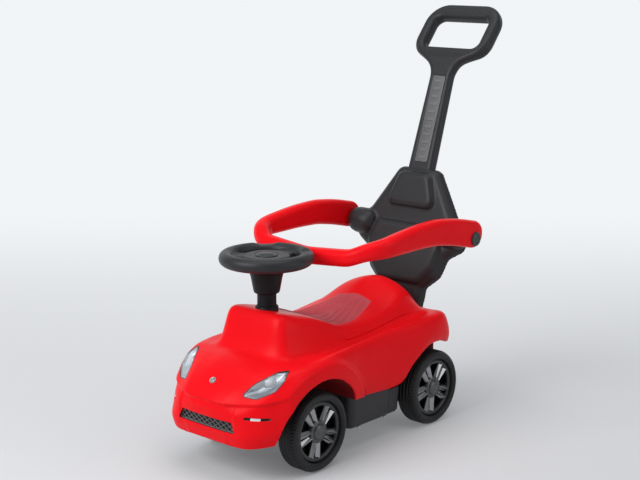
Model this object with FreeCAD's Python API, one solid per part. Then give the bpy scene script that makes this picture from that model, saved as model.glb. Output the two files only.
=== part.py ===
import FreeCAD, Part
import math
import os

# Child's push car, millimetres, +Z up, nose towards -Y, the car's left side towards +X.
# It is drawn from the front axle (y = 0 there, ground at z = 0) and moved to its own origin,
# the middle of its footprint on the ground, when the pieces are written.

V = FreeCAD.Vector
X_AXIS = V(1, 0, 0)
Y_AXIS = V(0, 1, 0)
Z_AXIS = V(0, 0, 1)

# Wheels and axles
WHEEL_D = 160.0
WHEEL_W = 44.0
TRACK_OUT = 290.0
WHEELBASE = 367.0
AXLE_D = 10.0
WHEEL_WALL = 4.0
HUB_D = 28.0
RIM_D = 124.0
TRIM_T = 10.0
TRIM_SET_BACK = 6.0
TRIM_RING = 10.0
SPOKES = 5
CLIP_D = 18.0
CLIP_T = 3.0
CAP_WALL = 2.0

# Fits
RUN = 0.05
SLIDE = 0.3
SEAM = 0.4

# Steering linkage
STEER_MAX = 22.0
KINGPIN_OFFSET = 23.0
KINGPIN_D = 8.0
KNUCKLE_D = 26.0
STEER_ARM = 40.0
ARM_T = 8.0
ARM_W = 18.0
TIE_T = 7.5
TIE_PIN_D = 6.0
SHAFT_D = 12.0
BRIDGE_T = 8.0
BRIDGE_POST_X = 36.0
BRIDGE_POST_Y = -30.0
BRIDGE_POST_D = 16.0

# Floor pan
PAN_Z = 46.0
PAN_FLOOR = 4.0
PAN_WALL = 3.5
PAN_PAD = 8.0
PAN_FRONT_HALF = 54.0
PAN_FRONT_Y = -58.0
PAN_GAP = 1.0
PAN_MID_FRONT = 128.0
PAN_MID_REAR_GAP = 4.0
PAN_REAR_HALF = 88.0
PAN_LIP = 8.0
PAN_REAR_TOP = 172.0
PAN_REAR_SET = 28.0
AXLE_BLOCK_T = 16.0
AXLE_BLOCK_W = 26.0

# Body shell
SHELL_T = 3.0
BODY_HALF_W = 151.0
NOSE_Y = -188.0
TAIL_OVERHANG = 68.0
FRONT_ARCH_GAP = 40.0
REAR_ARCH_GAP = 29.0
ARCH_DROP = 10.0
REAR_ARCH_DROP = 6.0
WELL_GAP = 5.0
BOSS_D = 12.0
SCREW_D = 3.2
SCREW_HEAD_D = 7.2
SCREW_HEAD_T = 2.4
SCREW_LENGTH = 16.0

# Saddle
SADDLE_FRONT = 116.0
SADDLE_REAR_SET = 31.0
SADDLE_EDGE_HALF = 98.0
LEDGE_W = 7.0

# Steering wheel and column
STEER_RIM_D = 188.0
STEER_TUBE_D = 28.0
STEER_RIM_Z = 406.0
HUB_PLATE_D = 76.0
HUB_PLATE_T = 14.0
CONE_TOP_D = 66.0
CONE_BOTTOM_D = 51.0
CONE_STEP_Z = 336.0
SLEEVE_D = 38.0
SLEEVE_BOTTOM_Z = 286.0
STEER_SPOKE_W = 40.0
STEER_SPOKE_T = 13.0
STEER_SPOKES = 3
BUSH_WALL = 3.6
BUSH_FLANGE = 5.0
BUSH_PROUD = 3.0
HORN_D = 44.0
HORN_DEPTH = 14.0
HORN_TRAVEL = 3.0
HORN_DOME = 5.0
BULB_D = 26.0
CROSS_BOLT_D = 5.0

# Backrest, leaning back; heights along its own face from where it meets the saddle
BACK_FOOT_Y = 413.0
BACK_FOOT_Z = 292.0
BACK_LEAN = 14.6
BACK_DEPTH = 30.0
BACK_WALL = 3.0
BACK_TOP = 244.0
BACK_TOP_HALF = 50.0
BACK_EAR_HALF = 158.0
BACK_STEM_HALF = 63.0
BACK_STEM_DROP = 96.0
PAD_RAISE = 6.0

# Guard rail
GUARD_HALF = 170.0
GUARD_T = 22.0
GUARD_WHEEL_GAP = 3.0
GUARD_CORNER = 70.0
GUARD_ROUND = 9.0
PIVOT_Y = 448.0
PIVOT_Z = 397.0
PIVOT_D = 16.0
PIVOT_HEAD_D = 26.0
PIVOT_HEAD_T = 4.0
PIVOT_BOSS_D = 28.0
LOBE_H = 56.0
LOBE_RISE = 3.0

# Push handle
POST_LEAN = 19.2
POST_FRONT_Y = 485.0
POST_FRONT_Z = 529.0
POST_W = 60.0
POST_TOP_W = 52.0
POST_T = 25.0
POST_LENGTH = 248.0
SOCKET_DEPTH = 62.0
LOOP_LEAN = 40.0
LOOP_HALF = 98.0
LOOP_H = 145.0
LOOP_TUBE = 27.0
LOOP_TOP = 36.0
LOOP_DEPTH = 30.0
LOOP_CORNER = 48.0
LOOP_HOLE_CORNER = 16.0
LOOP_EDGE = 11.0
LOOP_FOOT = 29.0
INSET_W = 30.0
INSET_T = 2.0
INSET_START = 12.0
INSET_LENGTH = 190.0
LOCK_D = 12.0
LOCK_U = 30.0
LOCK_PROUD = 4.0
LOCK_TRAVEL = 5.0
LOCK_LENGTH = 15.0

AXLE_Z = WHEEL_D / 2
WHEEL_OUT_X = TRACK_OUT / 2
WHEEL_IN_X = WHEEL_OUT_X - WHEEL_W
KINGPIN_X = WHEEL_IN_X - KINGPIN_OFFSET
TAIL_Y = WHEELBASE + TAIL_OVERHANG
STEER_RAD = math.radians(STEER_MAX)

parts = {}


def rear(distance):
    """A place measured from the rear axle."""
    return WHEELBASE + distance


def block(x0, x1, y0, y1, z0, z1):
    return Part.makeBox(x1 - x0, y1 - y0, z1 - z0, V(x0, y0, z0))


def rod(diameter, start, axis, length):
    return Part.makeCylinder(diameter / 2, length, start, axis)


def both_sides(shape):
    """A shape on the car's left and its mirror image on the right, as two solids."""
    return Part.makeCompound([shape, mirrored(shape)])


def mirrored(shape):
    return shape.mirror(V(0, 0, 0), X_AXIS)


def rounded_outline(corners, place):
    """Closed wire through (a, b, radius) corners, each rounded by an arc; place(a, b) gives the point."""
    count = len(corners)
    flat = [V(a, b, 0) for a, b, radius in corners]
    edges = []
    starts = []
    ends = []
    mids = []
    for i in range(count):
        here = flat[i]
        to_last = (flat[i - 1] - here).normalize()
        to_next = (flat[(i + 1) % count] - here).normalize()
        half_angle = to_last.getAngle(to_next) / 2
        radius = corners[i][2]
        run = radius / math.tan(half_angle)
        bisector = (to_last + to_next).normalize()
        starts.append(here + to_last * run)
        ends.append(here + to_next * run)
        mids.append(here + bisector * (radius / math.sin(half_angle) - radius))
    for i in range(count):
        if corners[i][2] > 0:
            edges.append(Part.Arc(place(starts[i].x, starts[i].y), place(mids[i].x, mids[i].y),
                                  place(ends[i].x, ends[i].y)).toShape())
        here = place(ends[i].x, ends[i].y)
        following = starts[(i + 1) % count]
        there = place(following.x, following.y)
        if here.distanceToPoint(there) > 1e-6:
            edges.append(Part.LineSegment(here, there).toShape())
    return Part.Wire(edges)


def prism(corners, place, direction):
    """Solid swept straight from a rounded outline."""
    return Part.Face(rounded_outline(corners, place)).extrude(direction)


def half_to_full(corners):
    """Mirror the (a, b, radius) corners of a right half, listed bottom to top, about a = 0."""
    return corners + [(-a, b, radius) for a, b, radius in reversed(corners)]


def on_line(line, y):
    """Value at y on a line given by (y, value) points."""
    if y <= line[0][0]:
        return line[0][1]
    for (y0, v0), (y1, v1) in zip(line, line[1:]):
        if y <= y1:
            return v0 + (v1 - v0) * (y - y0) / (y1 - y0)
    return line[-1][1]


# Lines of the body: how far its flank stands in from the full half width, and the heights of its
# lower lip, belt, saddle foot, saddle crown and middle, each along the length.
STATIONS = [NOSE_Y, NOSE_Y + 6, NOSE_Y + 17, -152, -124, -94, -74, -60, -48, -38, -22, 10, 45, 80, 106,
            126, 160, 215, rear(-97), rear(-54), rear(-24), rear(-2), rear(16), rear(32), rear(50),
            rear(60), TAIL_Y]
FLANK_INSET = [(NOSE_Y, 92), (NOSE_Y + 6, 71), (NOSE_Y + 17, 50), (-152, 30), (-124, 10), (-94, 3), (-38, 0),
               (10, 0), (45, 2), (80, 6), (126, 12), (215, 12), (rear(-97), 7), (rear(-54), 2), (rear(0), 0),
               (rear(32), 4), (rear(50), 10), (rear(60), 20), (TAIL_Y, 36)]
LIP_LINE = [(NOSE_Y, 96), (NOSE_Y + 6, 89), (NOSE_Y + 17, 84), (-94, 85), (10, 93), (106, 119),
            (rear(-102), 107), (rear(-60), 140), (rear(-30), 178), (rear(10), 178), (rear(40), 172),
            (TAIL_Y, 165)]
BELT_LINE = [(NOSE_Y, 133), (NOSE_Y + 6, 136), (NOSE_Y + 17, 142), (-152, 153), (-124, 178), (-94, 203),
             (-60, 214), (10, 220), (126, 224), (215, 229), (rear(-54), 235), (rear(32), 238),
             (rear(50), 234), (rear(60), 224), (TAIL_Y, 212)]
FOOT_HALF = [(NOSE_Y, 30), (NOSE_Y + 17, 52), (-152, 68), (-124, 77), (-74, 84), (-38, 80), (10, 87),
             (80, 98), (126, 103), (rear(-54), 105), (rear(0), 98), (rear(32), 92), (rear(50), 84),
             (TAIL_Y, 60)]
FOOT_LINE = [(NOSE_Y, 145), (NOSE_Y + 6, 151), (NOSE_Y + 17, 165), (-152, 184), (-124, 203), (-94, 217),
             (-60, 225), (10, 223), (80, 217), (126, 214), (160, 215), (215, 220), (rear(-54), 230),
             (rear(16), 238), (rear(50), 238), (rear(60), 231), (TAIL_Y, 221)]
CROWN_HALF = [(NOSE_Y, 20), (NOSE_Y + 17, 36), (-152, 46), (-74, 58), (-38, 57), (10, 65), (80, 78),
              (126, 85), (rear(-97), 88), (rear(-54), 84), (rear(-24), 76), (rear(16), 64), (TAIL_Y, 40)]
CROWN_LINE = [(NOSE_Y, 146), (NOSE_Y + 6, 153), (NOSE_Y + 17, 168), (-152, 188), (-124, 207), (-94, 220),
              (-74, 225), (-60, 230), (-48, 268), (-38, 302), (-22, 308), (10, 307), (45, 302), (80, 288),
              (106, 268), (126, 256), (160, 250), (215, 253), (rear(-97), 262), (rear(-54), 281),
              (rear(-24), 287), (rear(-2), 281), (rear(16), 264), (rear(32), 247), (rear(50), 241),
              (rear(60), 233), (TAIL_Y, 223)]
MIDDLE_RISE = [(NOSE_Y, 1), (-152, 4), (-74, 3), (-38, 4), (10, 4), (80, 7), (126, 7), (160, 8), (215, 11),
               (rear(-97), 16), (rear(-54), 24), (rear(-24), 28), (rear(-2), 26), (rear(16), 14),
               (rear(32), 3), (TAIL_Y, 1)]
LIP_TUCK = 10.0
LIP_BAND = 13.0
LIP_LEAN = 3.0
BELT_TUCK = [(-124, 12), (-60, 3)]
SHOULDER_TUCK = 12.0
SHOULDER_RISE = 6.0
FLANK_SHARE = 0.5
NOSE_RAKE = 0.28
NOSE_RAKE_HALF = 62.0
NOSE_RAKE_FADE = 50.0
NOSE_RAKE_Z = 155.0
NOSE_RAKE_END = -94.0
TAIL_RAKE = 0.4
TAIL_RAKE_Z = 205.0
TAIL_RAKE_START = rear(16)


def section_points(y):
    """Poles of the right half of the body's section at y, from its lower lip to its middle."""
    flank = BODY_HALF_W - on_line(FLANK_INSET, y)
    lip = on_line(LIP_LINE, y)
    belt = on_line(BELT_LINE, y)
    foot_x = on_line(FOOT_HALF, y)
    foot = on_line(FOOT_LINE, y)
    crown_x = on_line(CROWN_HALF, y)
    crown = on_line(CROWN_LINE, y)
    middle = crown + on_line(MIDDLE_RISE, y)
    tuck = on_line(BELT_TUCK, y)
    shoulder_x = flank - tuck - SHOULDER_TUCK
    shoulder = belt + SHOULDER_RISE
    return [V(flank - LIP_TUCK, y, lip), V(flank - LIP_LEAN, y, lip + LIP_BAND),
            V(flank, y, lip + (belt - lip) * FLANK_SHARE), V(flank - tuck, y, belt),
            V(shoulder_x, y, shoulder), V((shoulder_x + foot_x) / 2, y, (shoulder + foot) / 2),
            V(foot_x, y, foot), V((foot_x + crown_x) / 2, y, (foot + crown) / 2),
            V(crown_x, y, crown), V(crown_x / 2, y, (crown + middle) / 2 + 1), V(0, y, middle)]


def body_net():
    """Rows of poles, nose to tail, each from the right lip over the top to the left lip."""
    net = []
    for y in STATIONS:
        right = section_points(y)
        left = [V(-p.x, p.y, p.z) for p in reversed(right[:-1])]
        net.append(right + left)
    return net


def sunk_net(net, depth):
    """The same net moved inwards by a wall thickness, with its lips let down so that it opens below."""
    rows = len(net)
    columns = len(net[0])
    sunk = []
    for i in range(rows):
        row = []
        for j in range(columns):
            along = net[min(i + 1, rows - 1)][j] - net[max(i - 1, 0)][j]
            across = net[i][min(j + 1, columns - 1)] - net[i][max(j - 1, 0)]
            outward = along.cross(across).normalize()
            row.append(net[i][j] - outward * depth)
        for j in (0, columns - 1):
            row[j].z -= LIP_BAND + depth
        sunk.append(row)
    for p in sunk[0]:
        p.y = NOSE_Y + depth
    for p in sunk[-1]:
        p.y = TAIL_Y - depth
    return sunk


def raked(net):
    """The net with its nose undercut below the bonnet's edge and its tail leaning out towards its lip."""
    for row in net:
        for p in row:
            nose = max(0, (NOSE_RAKE_END - p.y) / (NOSE_RAKE_END - NOSE_Y))
            nose *= min(1, max(0, 1 - (abs(p.x) - NOSE_RAKE_HALF) / NOSE_RAKE_FADE))
            tail = max(0, (p.y - TAIL_RAKE_START) / (TAIL_Y - TAIL_RAKE_START))
            p.y += nose * NOSE_RAKE * max(0, NOSE_RAKE_Z - p.z) + tail * TAIL_RAKE * (TAIL_RAKE_Z - p.z)
    return net


def net_solid(net):
    """Closed solid under a smooth skin drawn by a net of poles."""
    rows = len(net)
    columns = len(net[0])
    skin = Part.BSplineSurface()
    skin.buildFromPolesMultsKnots(net, [4] + [1] * (rows - 4) + [4], [4] + [1] * (columns - 4) + [4],
                                  list(range(rows - 2)), list(range(columns - 2)), False, False, 3, 3)
    lips = [skin.vIso(0).toShape(), skin.vIso(columns - 3).toShape()]
    faces = [skin.toShape(), Part.makeRuledSurface(lips[0], lips[1])]
    for end in (0, rows - 3):
        rib = skin.uIso(end)
        chord = Part.LineSegment(rib.EndPoint, rib.StartPoint)
        faces.append(Part.Face(Part.Wire([rib.toShape(), chord.toShape()])))
    shell = Part.makeShell(faces)
    shell.sewShape()
    solid = Part.Solid(shell)
    if solid.Volume < 0:
        solid.reverse()
    return solid


NET = body_net()
OUTER = net_solid(raked(body_net()))
INNER = net_solid(raked(sunk_net(NET, SHELL_T)))
LINING = net_solid(raked(sunk_net(NET, SHELL_T + SLIDE)))
LINING_IN = net_solid(raked(sunk_net(NET, 2 * SHELL_T + SLIDE)))

# Wheel wells, clear of the steered front wheels
FRONT_ARCH_R = AXLE_Z + FRONT_ARCH_GAP
REAR_ARCH_R = AXLE_Z + REAR_ARCH_GAP
STEERED_IN_X = KINGPIN_X + KINGPIN_OFFSET * math.cos(STEER_RAD) - AXLE_Z * math.sin(STEER_RAD)
FRONT_WELL_X = STEERED_IN_X - WELL_GAP
REAR_WELL_X = WHEEL_IN_X - WELL_GAP
WELL_LENGTH = BODY_HALF_W


def wells(grow):
    cuts = []
    for y, z, radius, inner_x in ((0, AXLE_Z - ARCH_DROP, FRONT_ARCH_R, FRONT_WELL_X),
                                  (WHEELBASE, AXLE_Z - REAR_ARCH_DROP, REAR_ARCH_R, REAR_WELL_X)):
        cut = rod(2 * (radius + grow), V(inner_x - grow, y, z), X_AXIS, WELL_LENGTH)
        cuts += [cut, mirrored(cut)]
    return cuts


SHELL = OUTER.cut(wells(0)).cut(INNER.cut(wells(SHELL_T)))


# Openings in the shell, and the trim let into them
LAMP_CORNERS = [(75, 176, 5), (104, 172, 16), (130, 186, 14), (135, 205, 8), (126, 219, 4), (109, 216, 8),
                (86, 197, 16)]
GRILLE_CORNERS = half_to_full([(77, 105, 3), (67, 128, 6)])
FOG_CORNERS = [(91, 136, 3), (131, 133, 3), (131, 141, 3), (91, 144, 3)]
LAMP_BACK_Y = -68.0
FOG_BACK_Y = -124.0
GRILLE_LAP = 5.0
BADGE_Y = -150.0
BADGE_D = 14.0
BADGE_T = 2.0
BADGE_TILT = 42.0


def from_the_front(x, z):
    return V(x, NOSE_Y - SHELL_T, z)


def grown(corners, gap):
    """An outline moved outwards by a gap, taken from the middle of its corners."""
    mid_a = sum(a for a, b, radius in corners) / len(corners)
    mid_b = sum(b for a, b, radius in corners) / len(corners)
    return [(a + gap * math.copysign(1, a - mid_a), b + gap * math.copysign(1, b - mid_b), radius)
            for a, b, radius in corners]


def front_prism(corners, gap, back_y):
    """Straight prism from ahead of the nose back to a place along the body."""
    return prism(grown(corners, gap), from_the_front, Y_AXIS * (back_y - NOSE_Y + SHELL_T))


lamp_prism = front_prism(LAMP_CORNERS, 0, LAMP_BACK_Y)
lamp_hole = front_prism(LAMP_CORNERS, SEAM, LAMP_BACK_Y + SEAM)
lamp = SHELL.common(lamp_prism)
fog_hole = front_prism(FOG_CORNERS, 0, FOG_BACK_Y)
lining = LINING.cut(LINING_IN)
fog = lining.common(front_prism(FOG_CORNERS, GRILLE_LAP, FOG_BACK_Y + GRILLE_LAP))
grille_hole = front_prism(GRILLE_CORNERS, 0, FOG_BACK_Y)
grille = lining.common(front_prism(GRILLE_CORNERS, GRILLE_LAP, FOG_BACK_Y))

parts["headlight_left"] = lamp
parts["headlight_right"] = mirrored(lamp)
parts["fog_light_left"] = fog
parts["fog_light_right"] = mirrored(fog)
parts["grille_insert"] = grille

shell = SHELL.cut([lamp_hole, mirrored(lamp_hole), fog_hole, mirrored(fog_hole), grille_hole])

# Round badge on the bonnet, bare, bedded on the skin
badge_axis = V(0, -math.sin(math.radians(BADGE_TILT)), math.cos(math.radians(BADGE_TILT)))
badge_ray = Part.LineSegment(V(0, BADGE_Y, 0), V(0, BADGE_Y, STEER_RIM_Z)).toShape()
badge_foot = OUTER.common(badge_ray).Vertexes
badge_top = max(vertex.Z for vertex in badge_foot)
badge = rod(BADGE_D, V(0, BADGE_Y, badge_top) - badge_axis * BADGE_T, badge_axis, 2 * BADGE_T)
parts["bonnet_badge"] = badge.cut(OUTER)

# Seat saddle: the raised middle behind the dash pod, lifted out of the same skin, on a ledge below it
SADDLE_REAR = rear(SADDLE_REAR_SET)
SADDLE_CORNER = 14.0
SADDLE_BASE = 190.0


def saddle_prism(gap):
    corners = half_to_full([(SADDLE_EDGE_HALF + gap, SADDLE_FRONT - gap, SADDLE_CORNER),
                            (SADDLE_EDGE_HALF + gap, SADDLE_REAR + gap, SADDLE_CORNER)])
    return prism(corners, lambda x, y: V(x, y, SADDLE_BASE), Z_AXIS * SADDLE_BASE)


saddle = SHELL.common(saddle_prism(0))
ledge = lining.common(saddle_prism(LEDGE_W)).cut(saddle_prism(-LEDGE_W))
ledge_band = INNER.cut(LINING).common(saddle_prism(LEDGE_W)).cut(saddle_prism(SEAM))
shell = shell.cut(saddle_prism(SEAM)).fuse([ledge, ledge_band])
parts["seat_saddle"] = saddle

# Column hole in the dash pod and its bush, pushed up from inside against the skin
SLEEVE_R = SLEEVE_D / 2
BUSH_R = SLEEVE_R + RUN + BUSH_WALL
POD_TOP = max(v.Z for v in OUTER.common(
    Part.LineSegment(V(0, 0, SADDLE_BASE), V(0, 0, STEER_RIM_Z)).toShape()).Vertexes)
shell = shell.cut(rod(2 * (BUSH_R + SLIDE), V(0, 0, SADDLE_BASE), Z_AXIS, STEER_RIM_Z - SADDLE_BASE))
bush_flange = rod(2 * (BUSH_R + BUSH_FLANGE), V(0, 0, SLEEVE_BOTTOM_Z), Z_AXIS, POD_TOP - SLEEVE_BOTTOM_Z)
bush = bush_flange.common(LINING)
bush = bush.fuse(rod(2 * BUSH_R, V(0, 0, SLEEVE_BOTTOM_Z), Z_AXIS, POD_TOP + BUSH_PROUD - SLEEVE_BOTTOM_Z))
parts["column_bush"] = bush.cut(rod(2 * (SLEEVE_R + RUN), V(0, 0, 0), Z_AXIS, STEER_RIM_Z))

# Backrest: a leaning moulding with a stem that plugs into a sleeve below the rear deck
LEAN = math.radians(BACK_LEAN)
BACK_UP = V(0, math.sin(LEAN), math.cos(LEAN))
BACK_IN = V(0, math.cos(LEAN), -math.sin(LEAN))
BACK_FOOT = V(0, BACK_FOOT_Y, BACK_FOOT_Z)


def on_back(depth):
    return lambda x, u: BACK_FOOT + V(x, 0, 0) + BACK_UP * u + BACK_IN * depth


def back_corners(inset):
    """Outline of the backrest, right half from its stem to its top, set in by a wall."""
    return half_to_full([
        (BACK_STEM_HALF - inset, -BACK_STEM_DROP + inset, 6),
        (BACK_STEM_HALF - inset, -12 + inset / 2, 24),
        (108 - inset, 53 + inset, 26),
        (BACK_EAR_HALF - 5 - inset, 74 + inset, 22),
        (BACK_EAR_HALF - inset, 126 - inset, 15),
        (121 - inset, 143 - inset, 30),
        (BACK_TOP_HALF + 4 - inset, BACK_TOP - inset, 16)])


PIVOT = V(0, PIVOT_Y, PIVOT_Z)
GUARD_IN_X = GUARD_HALF - GUARD_T / 2
GUARD_OUT_X = GUARD_HALF + GUARD_T / 2
EAR_BOSS_LENGTH = 44.0

back_outer = prism(back_corners(0), on_back(0), BACK_IN * BACK_DEPTH)
back_hollow = prism(back_corners(BACK_WALL), on_back(BACK_WALL), BACK_IN * BACK_DEPTH)
UPPER_PAD = half_to_full([(72, 148, 14), (43, 230, 20)])
LOWER_PAD = half_to_full([(56, 2, 18), (100, 70, 20), (72, 132, 16)])
pads = []
for corners in (UPPER_PAD, LOWER_PAD):
    pad = prism(corners, on_back(-PAD_RAISE), BACK_IN * (PAD_RAISE + BACK_WALL))
    front_edges = [e for e in pad.Edges if all(abs((v.Point - BACK_FOOT).dot(BACK_IN) + PAD_RAISE) < 0.01
                                               for v in e.Vertexes)]
    pads.append(pad.makeFillet(PAD_RAISE - 1, front_edges))
ear_boss = rod(PIVOT_BOSS_D, PIVOT + X_AXIS * (BACK_EAR_HALF - EAR_BOSS_LENGTH), X_AXIS, EAR_BOSS_LENGTH)

# Push handle: a leaning post that drops into a socket in the backrest, and a D-shaped grip loop
TILT = math.radians(POST_LEAN)
POST_UP = V(0, math.sin(TILT), math.cos(TILT))
POST_IN = V(0, math.cos(TILT), -math.sin(TILT))
POST_FRONT = V(0, POST_FRONT_Y, POST_FRONT_Z)
GRIP_TILT = math.radians(LOOP_LEAN)
GRIP_UP = V(0, math.sin(GRIP_TILT), math.cos(GRIP_TILT))
GRIP_IN = V(0, math.cos(GRIP_TILT), -math.sin(GRIP_TILT))
POST_ROUND = 7.0
GUSSET_RUN = 34.0
GUSSET_HALF = 52.0


def on_post(x, s, t):
    return POST_FRONT + V(x, 0, 0) + POST_UP * s + POST_IN * t


def post_ring(s, half_width, grow):
    """Rounded section of the post at a height along it."""
    a = half_width + grow
    corners = [(-a, -grow, POST_ROUND), (a, -grow, POST_ROUND),
               (a, POST_T + grow, POST_ROUND), (-a, POST_T + grow, POST_ROUND)]
    return rounded_outline(corners, lambda x, t: on_post(x, s, t))


def post_solid(grow):
    return Part.makeLoft([post_ring(-SOCKET_DEPTH - grow, POST_W / 2, grow),
                          post_ring(0, POST_W / 2, grow),
                          post_ring(POST_LENGTH, POST_TOP_W / 2, grow)], True, True)


GRIP_FOOT = on_post(0, POST_LENGTH, (POST_T - LOOP_DEPTH) / 2)


def on_grip(x, s):
    return GRIP_FOOT + V(x, 0, 0) + GRIP_UP * s


loop_outer = half_to_full([(LOOP_HALF, 0, LOOP_CORNER), (LOOP_HALF, LOOP_H, LOOP_CORNER)])
hole_half = LOOP_HALF - LOOP_TUBE
loop_hole = half_to_full([(hole_half, LOOP_FOOT, LOOP_HOLE_CORNER),
                          (hole_half, LOOP_H - LOOP_TOP, LOOP_HOLE_CORNER)])
loop = prism(loop_outer, on_grip, GRIP_IN * LOOP_DEPTH).cut(prism(loop_hole, on_grip, GRIP_IN * LOOP_DEPTH))
loop = loop.makeFillet(LOOP_EDGE, [e for e in loop.Edges if all(
    min(abs((v.Point - GRIP_FOOT).dot(GRIP_IN)), abs((v.Point - GRIP_FOOT).dot(GRIP_IN) - LOOP_DEPTH)) < 0.01
    for v in e.Vertexes)])
gusset = Part.makeLoft([post_ring(POST_LENGTH - GUSSET_RUN, POST_TOP_W / 2, 0),
                        post_ring(POST_LENGTH - GUSSET_RUN / 3, POST_TOP_W / 2 + 5, 0),
                        post_ring(POST_LENGTH + LOOP_FOOT / 3, GUSSET_HALF, 0)], True, False)
handle = post_solid(0).fuse([gusset, loop])
inset_corners = half_to_full([(INSET_W / 2, INSET_START, 5), (INSET_W / 2, INSET_START + INSET_LENGTH, 5)])
inset_seat = prism(inset_corners, lambda x, s: on_post(x, s, -INSET_T), POST_IN * (3 * INSET_T + RUN))
inset = prism(grown(inset_corners, -SLIDE), lambda x, s: on_post(x, s, INSET_T), POST_IN * INSET_T)

# Spring button that locks the post in its socket
LOCK_AT = on_post(0, -LOCK_U, 0)
LOCK_OUT = POST_T + SLIDE + BACK_WALL + LOCK_PROUD
lock = rod(LOCK_D, LOCK_AT + POST_IN * (LOCK_OUT - LOCK_LENGTH), POST_IN, LOCK_LENGTH)
LOCK_BORE_START = LOCK_OUT - LOCK_LENGTH - LOCK_TRAVEL - 2
lock_bore = rod(LOCK_D + 2 * RUN, LOCK_AT + POST_IN * LOCK_BORE_START, POST_IN, POST_T)
spring_ring = rod(LOCK_D - 2, LOCK_AT + POST_IN * LOCK_BORE_START, POST_IN,
                  LOCK_OUT - LOCK_LENGTH - LOCK_BORE_START)
spring_core = rod(LOCK_D - 5, LOCK_AT + POST_IN * LOCK_BORE_START, POST_IN, POST_T)
parts["push_handle"] = handle.cut([inset_seat, lock_bore])
parts["handle_inset"] = inset
parts["handle_lock_button"] = lock
parts["lock_spring"] = spring_ring.cut(spring_core)

socket = post_solid(SLIDE + BACK_WALL).common(prism(back_corners(0), on_back(0), BACK_IN * 2 * BACK_DEPTH))
lock_hole = rod(LOCK_D + 2 * SLIDE, LOCK_AT, POST_IN, 2 * BACK_DEPTH)
cover_seat = prism(back_corners(BACK_WALL), on_back(BACK_DEPTH - BACK_WALL), BACK_IN * BACK_WALL)
cover = prism(back_corners(BACK_WALL + SLIDE), on_back(BACK_DEPTH - BACK_WALL), BACK_IN * BACK_WALL)
front = back_outer.cut(back_hollow).fuse([ear_boss, mirrored(ear_boss)]).cut(cover_seat)
front = front.fuse(pads + [socket]).cut([post_solid(SLIDE), lock_hole])
pivot_bores = [rod(PIVOT_D, PIVOT + X_AXIS * x, X_AXIS, EAR_BOSS_LENGTH)
               for x in (BACK_EAR_HALF - EAR_BOSS_LENGTH + 4, -BACK_EAR_HALF - 4)]
front = front.cut(pivot_bores)
cover = cover.cut([ear_boss, mirrored(ear_boss), post_solid(2 * SLIDE + BACK_WALL)])
parts["backrest_front"] = front
parts["backrest_cover"] = cover

# Sleeve in the shell that takes the backrest's stem
stem_box = half_to_full([(BACK_STEM_HALF + SLIDE, -BACK_STEM_DROP - SLIDE, 2),
                         (BACK_STEM_HALF + SLIDE, 0, 2)])
stem_wall = half_to_full([(BACK_STEM_HALF + SLIDE + SHELL_T, -BACK_STEM_DROP - SHELL_T, 2),
                          (BACK_STEM_HALF + SLIDE + SHELL_T, 0, 2)])
stem_hole = prism(stem_box, on_back(-SLIDE), BACK_IN * (BACK_DEPTH + 2 * SLIDE))
stem_sleeve = prism(stem_wall, on_back(-SLIDE - SHELL_T), BACK_IN * (BACK_DEPTH + 2 * SLIDE + 2 * SHELL_T))
shell = shell.fuse(stem_sleeve.common(OUTER).cut(saddle_prism(SEAM))).cut(stem_hole)


# Steering wheel: rim, spokes and dished hub in one moulding, on a stepped cone
HUB_TOP_Z = STEER_RIM_Z + STEER_TUBE_D / 2 - 8
CONE_TOP_Z = STEER_RIM_Z - STEER_TUBE_D / 2 - 10
RIM_R = STEER_RIM_D / 2 - STEER_TUBE_D / 2
HUB_BOTTOM_Z = HUB_TOP_Z - HUB_PLATE_T
rim = Part.makeTorus(RIM_R, STEER_TUBE_D / 2, V(0, 0, STEER_RIM_Z))
hub_outline = [V(0, 0, CONE_STEP_Z), V(CONE_BOTTOM_D / 2, 0, CONE_STEP_Z), V(CONE_TOP_D / 2, 0, CONE_TOP_Z),
               V(HUB_PLATE_D / 2, 0, HUB_BOTTOM_Z), V(HUB_PLATE_D / 2, 0, HUB_TOP_Z), V(0, 0, HUB_TOP_Z)]
hub = Part.Face(Part.makePolygon(hub_outline + hub_outline[:1])).revolve(V(0, 0, 0), Z_AXIS, 360)
spoke_z = STEER_RIM_Z - STEER_SPOKE_T / 2
steer_spokes = []
for i in range(STEER_SPOKES):
    spoke = block(0, RIM_R, -STEER_SPOKE_W / 2, STEER_SPOKE_W / 2, spoke_z, spoke_z + STEER_SPOKE_T)
    steer_spokes.append(spoke.rotate(V(0, 0, 0), Z_AXIS, 90 + i * 360 / STEER_SPOKES))
SHAFT_TOP_Z = HUB_TOP_Z - HORN_DEPTH - 16
horn_pocket = rod(HORN_D, V(0, 0, HUB_TOP_Z - HORN_DEPTH), Z_AXIS, STEER_TUBE_D)
shaft_bore = rod(SHAFT_D, V(0, 0, CONE_STEP_Z - 1), Z_AXIS, SHAFT_TOP_Z - CONE_STEP_Z + 1)
BOLT_Z = CONE_STEP_Z + 14
cross_bore = rod(CROSS_BOLT_D, V(-CONE_TOP_D, 0, BOLT_Z), X_AXIS, 2 * CONE_TOP_D)
parts["steering_wheel"] = rim.fuse([hub] + steer_spokes).cut([horn_pocket, shaft_bore, cross_bore])

sleeve = rod(SLEEVE_D, V(0, 0, SLEEVE_BOTTOM_Z), Z_AXIS, CONE_STEP_Z - SLEEVE_BOTTOM_Z)
parts["column_sleeve"] = sleeve.cut(rod(SHAFT_D, V(0, 0, SLEEVE_BOTTOM_Z), Z_AXIS, CONE_STEP_Z))

bolt_reach = CONE_BOTTOM_D / 2 + 1
bolt = rod(CROSS_BOLT_D, V(-bolt_reach, 0, BOLT_Z), X_AXIS, 2 * bolt_reach)
parts["wheel_cross_bolt"] = bolt

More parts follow.
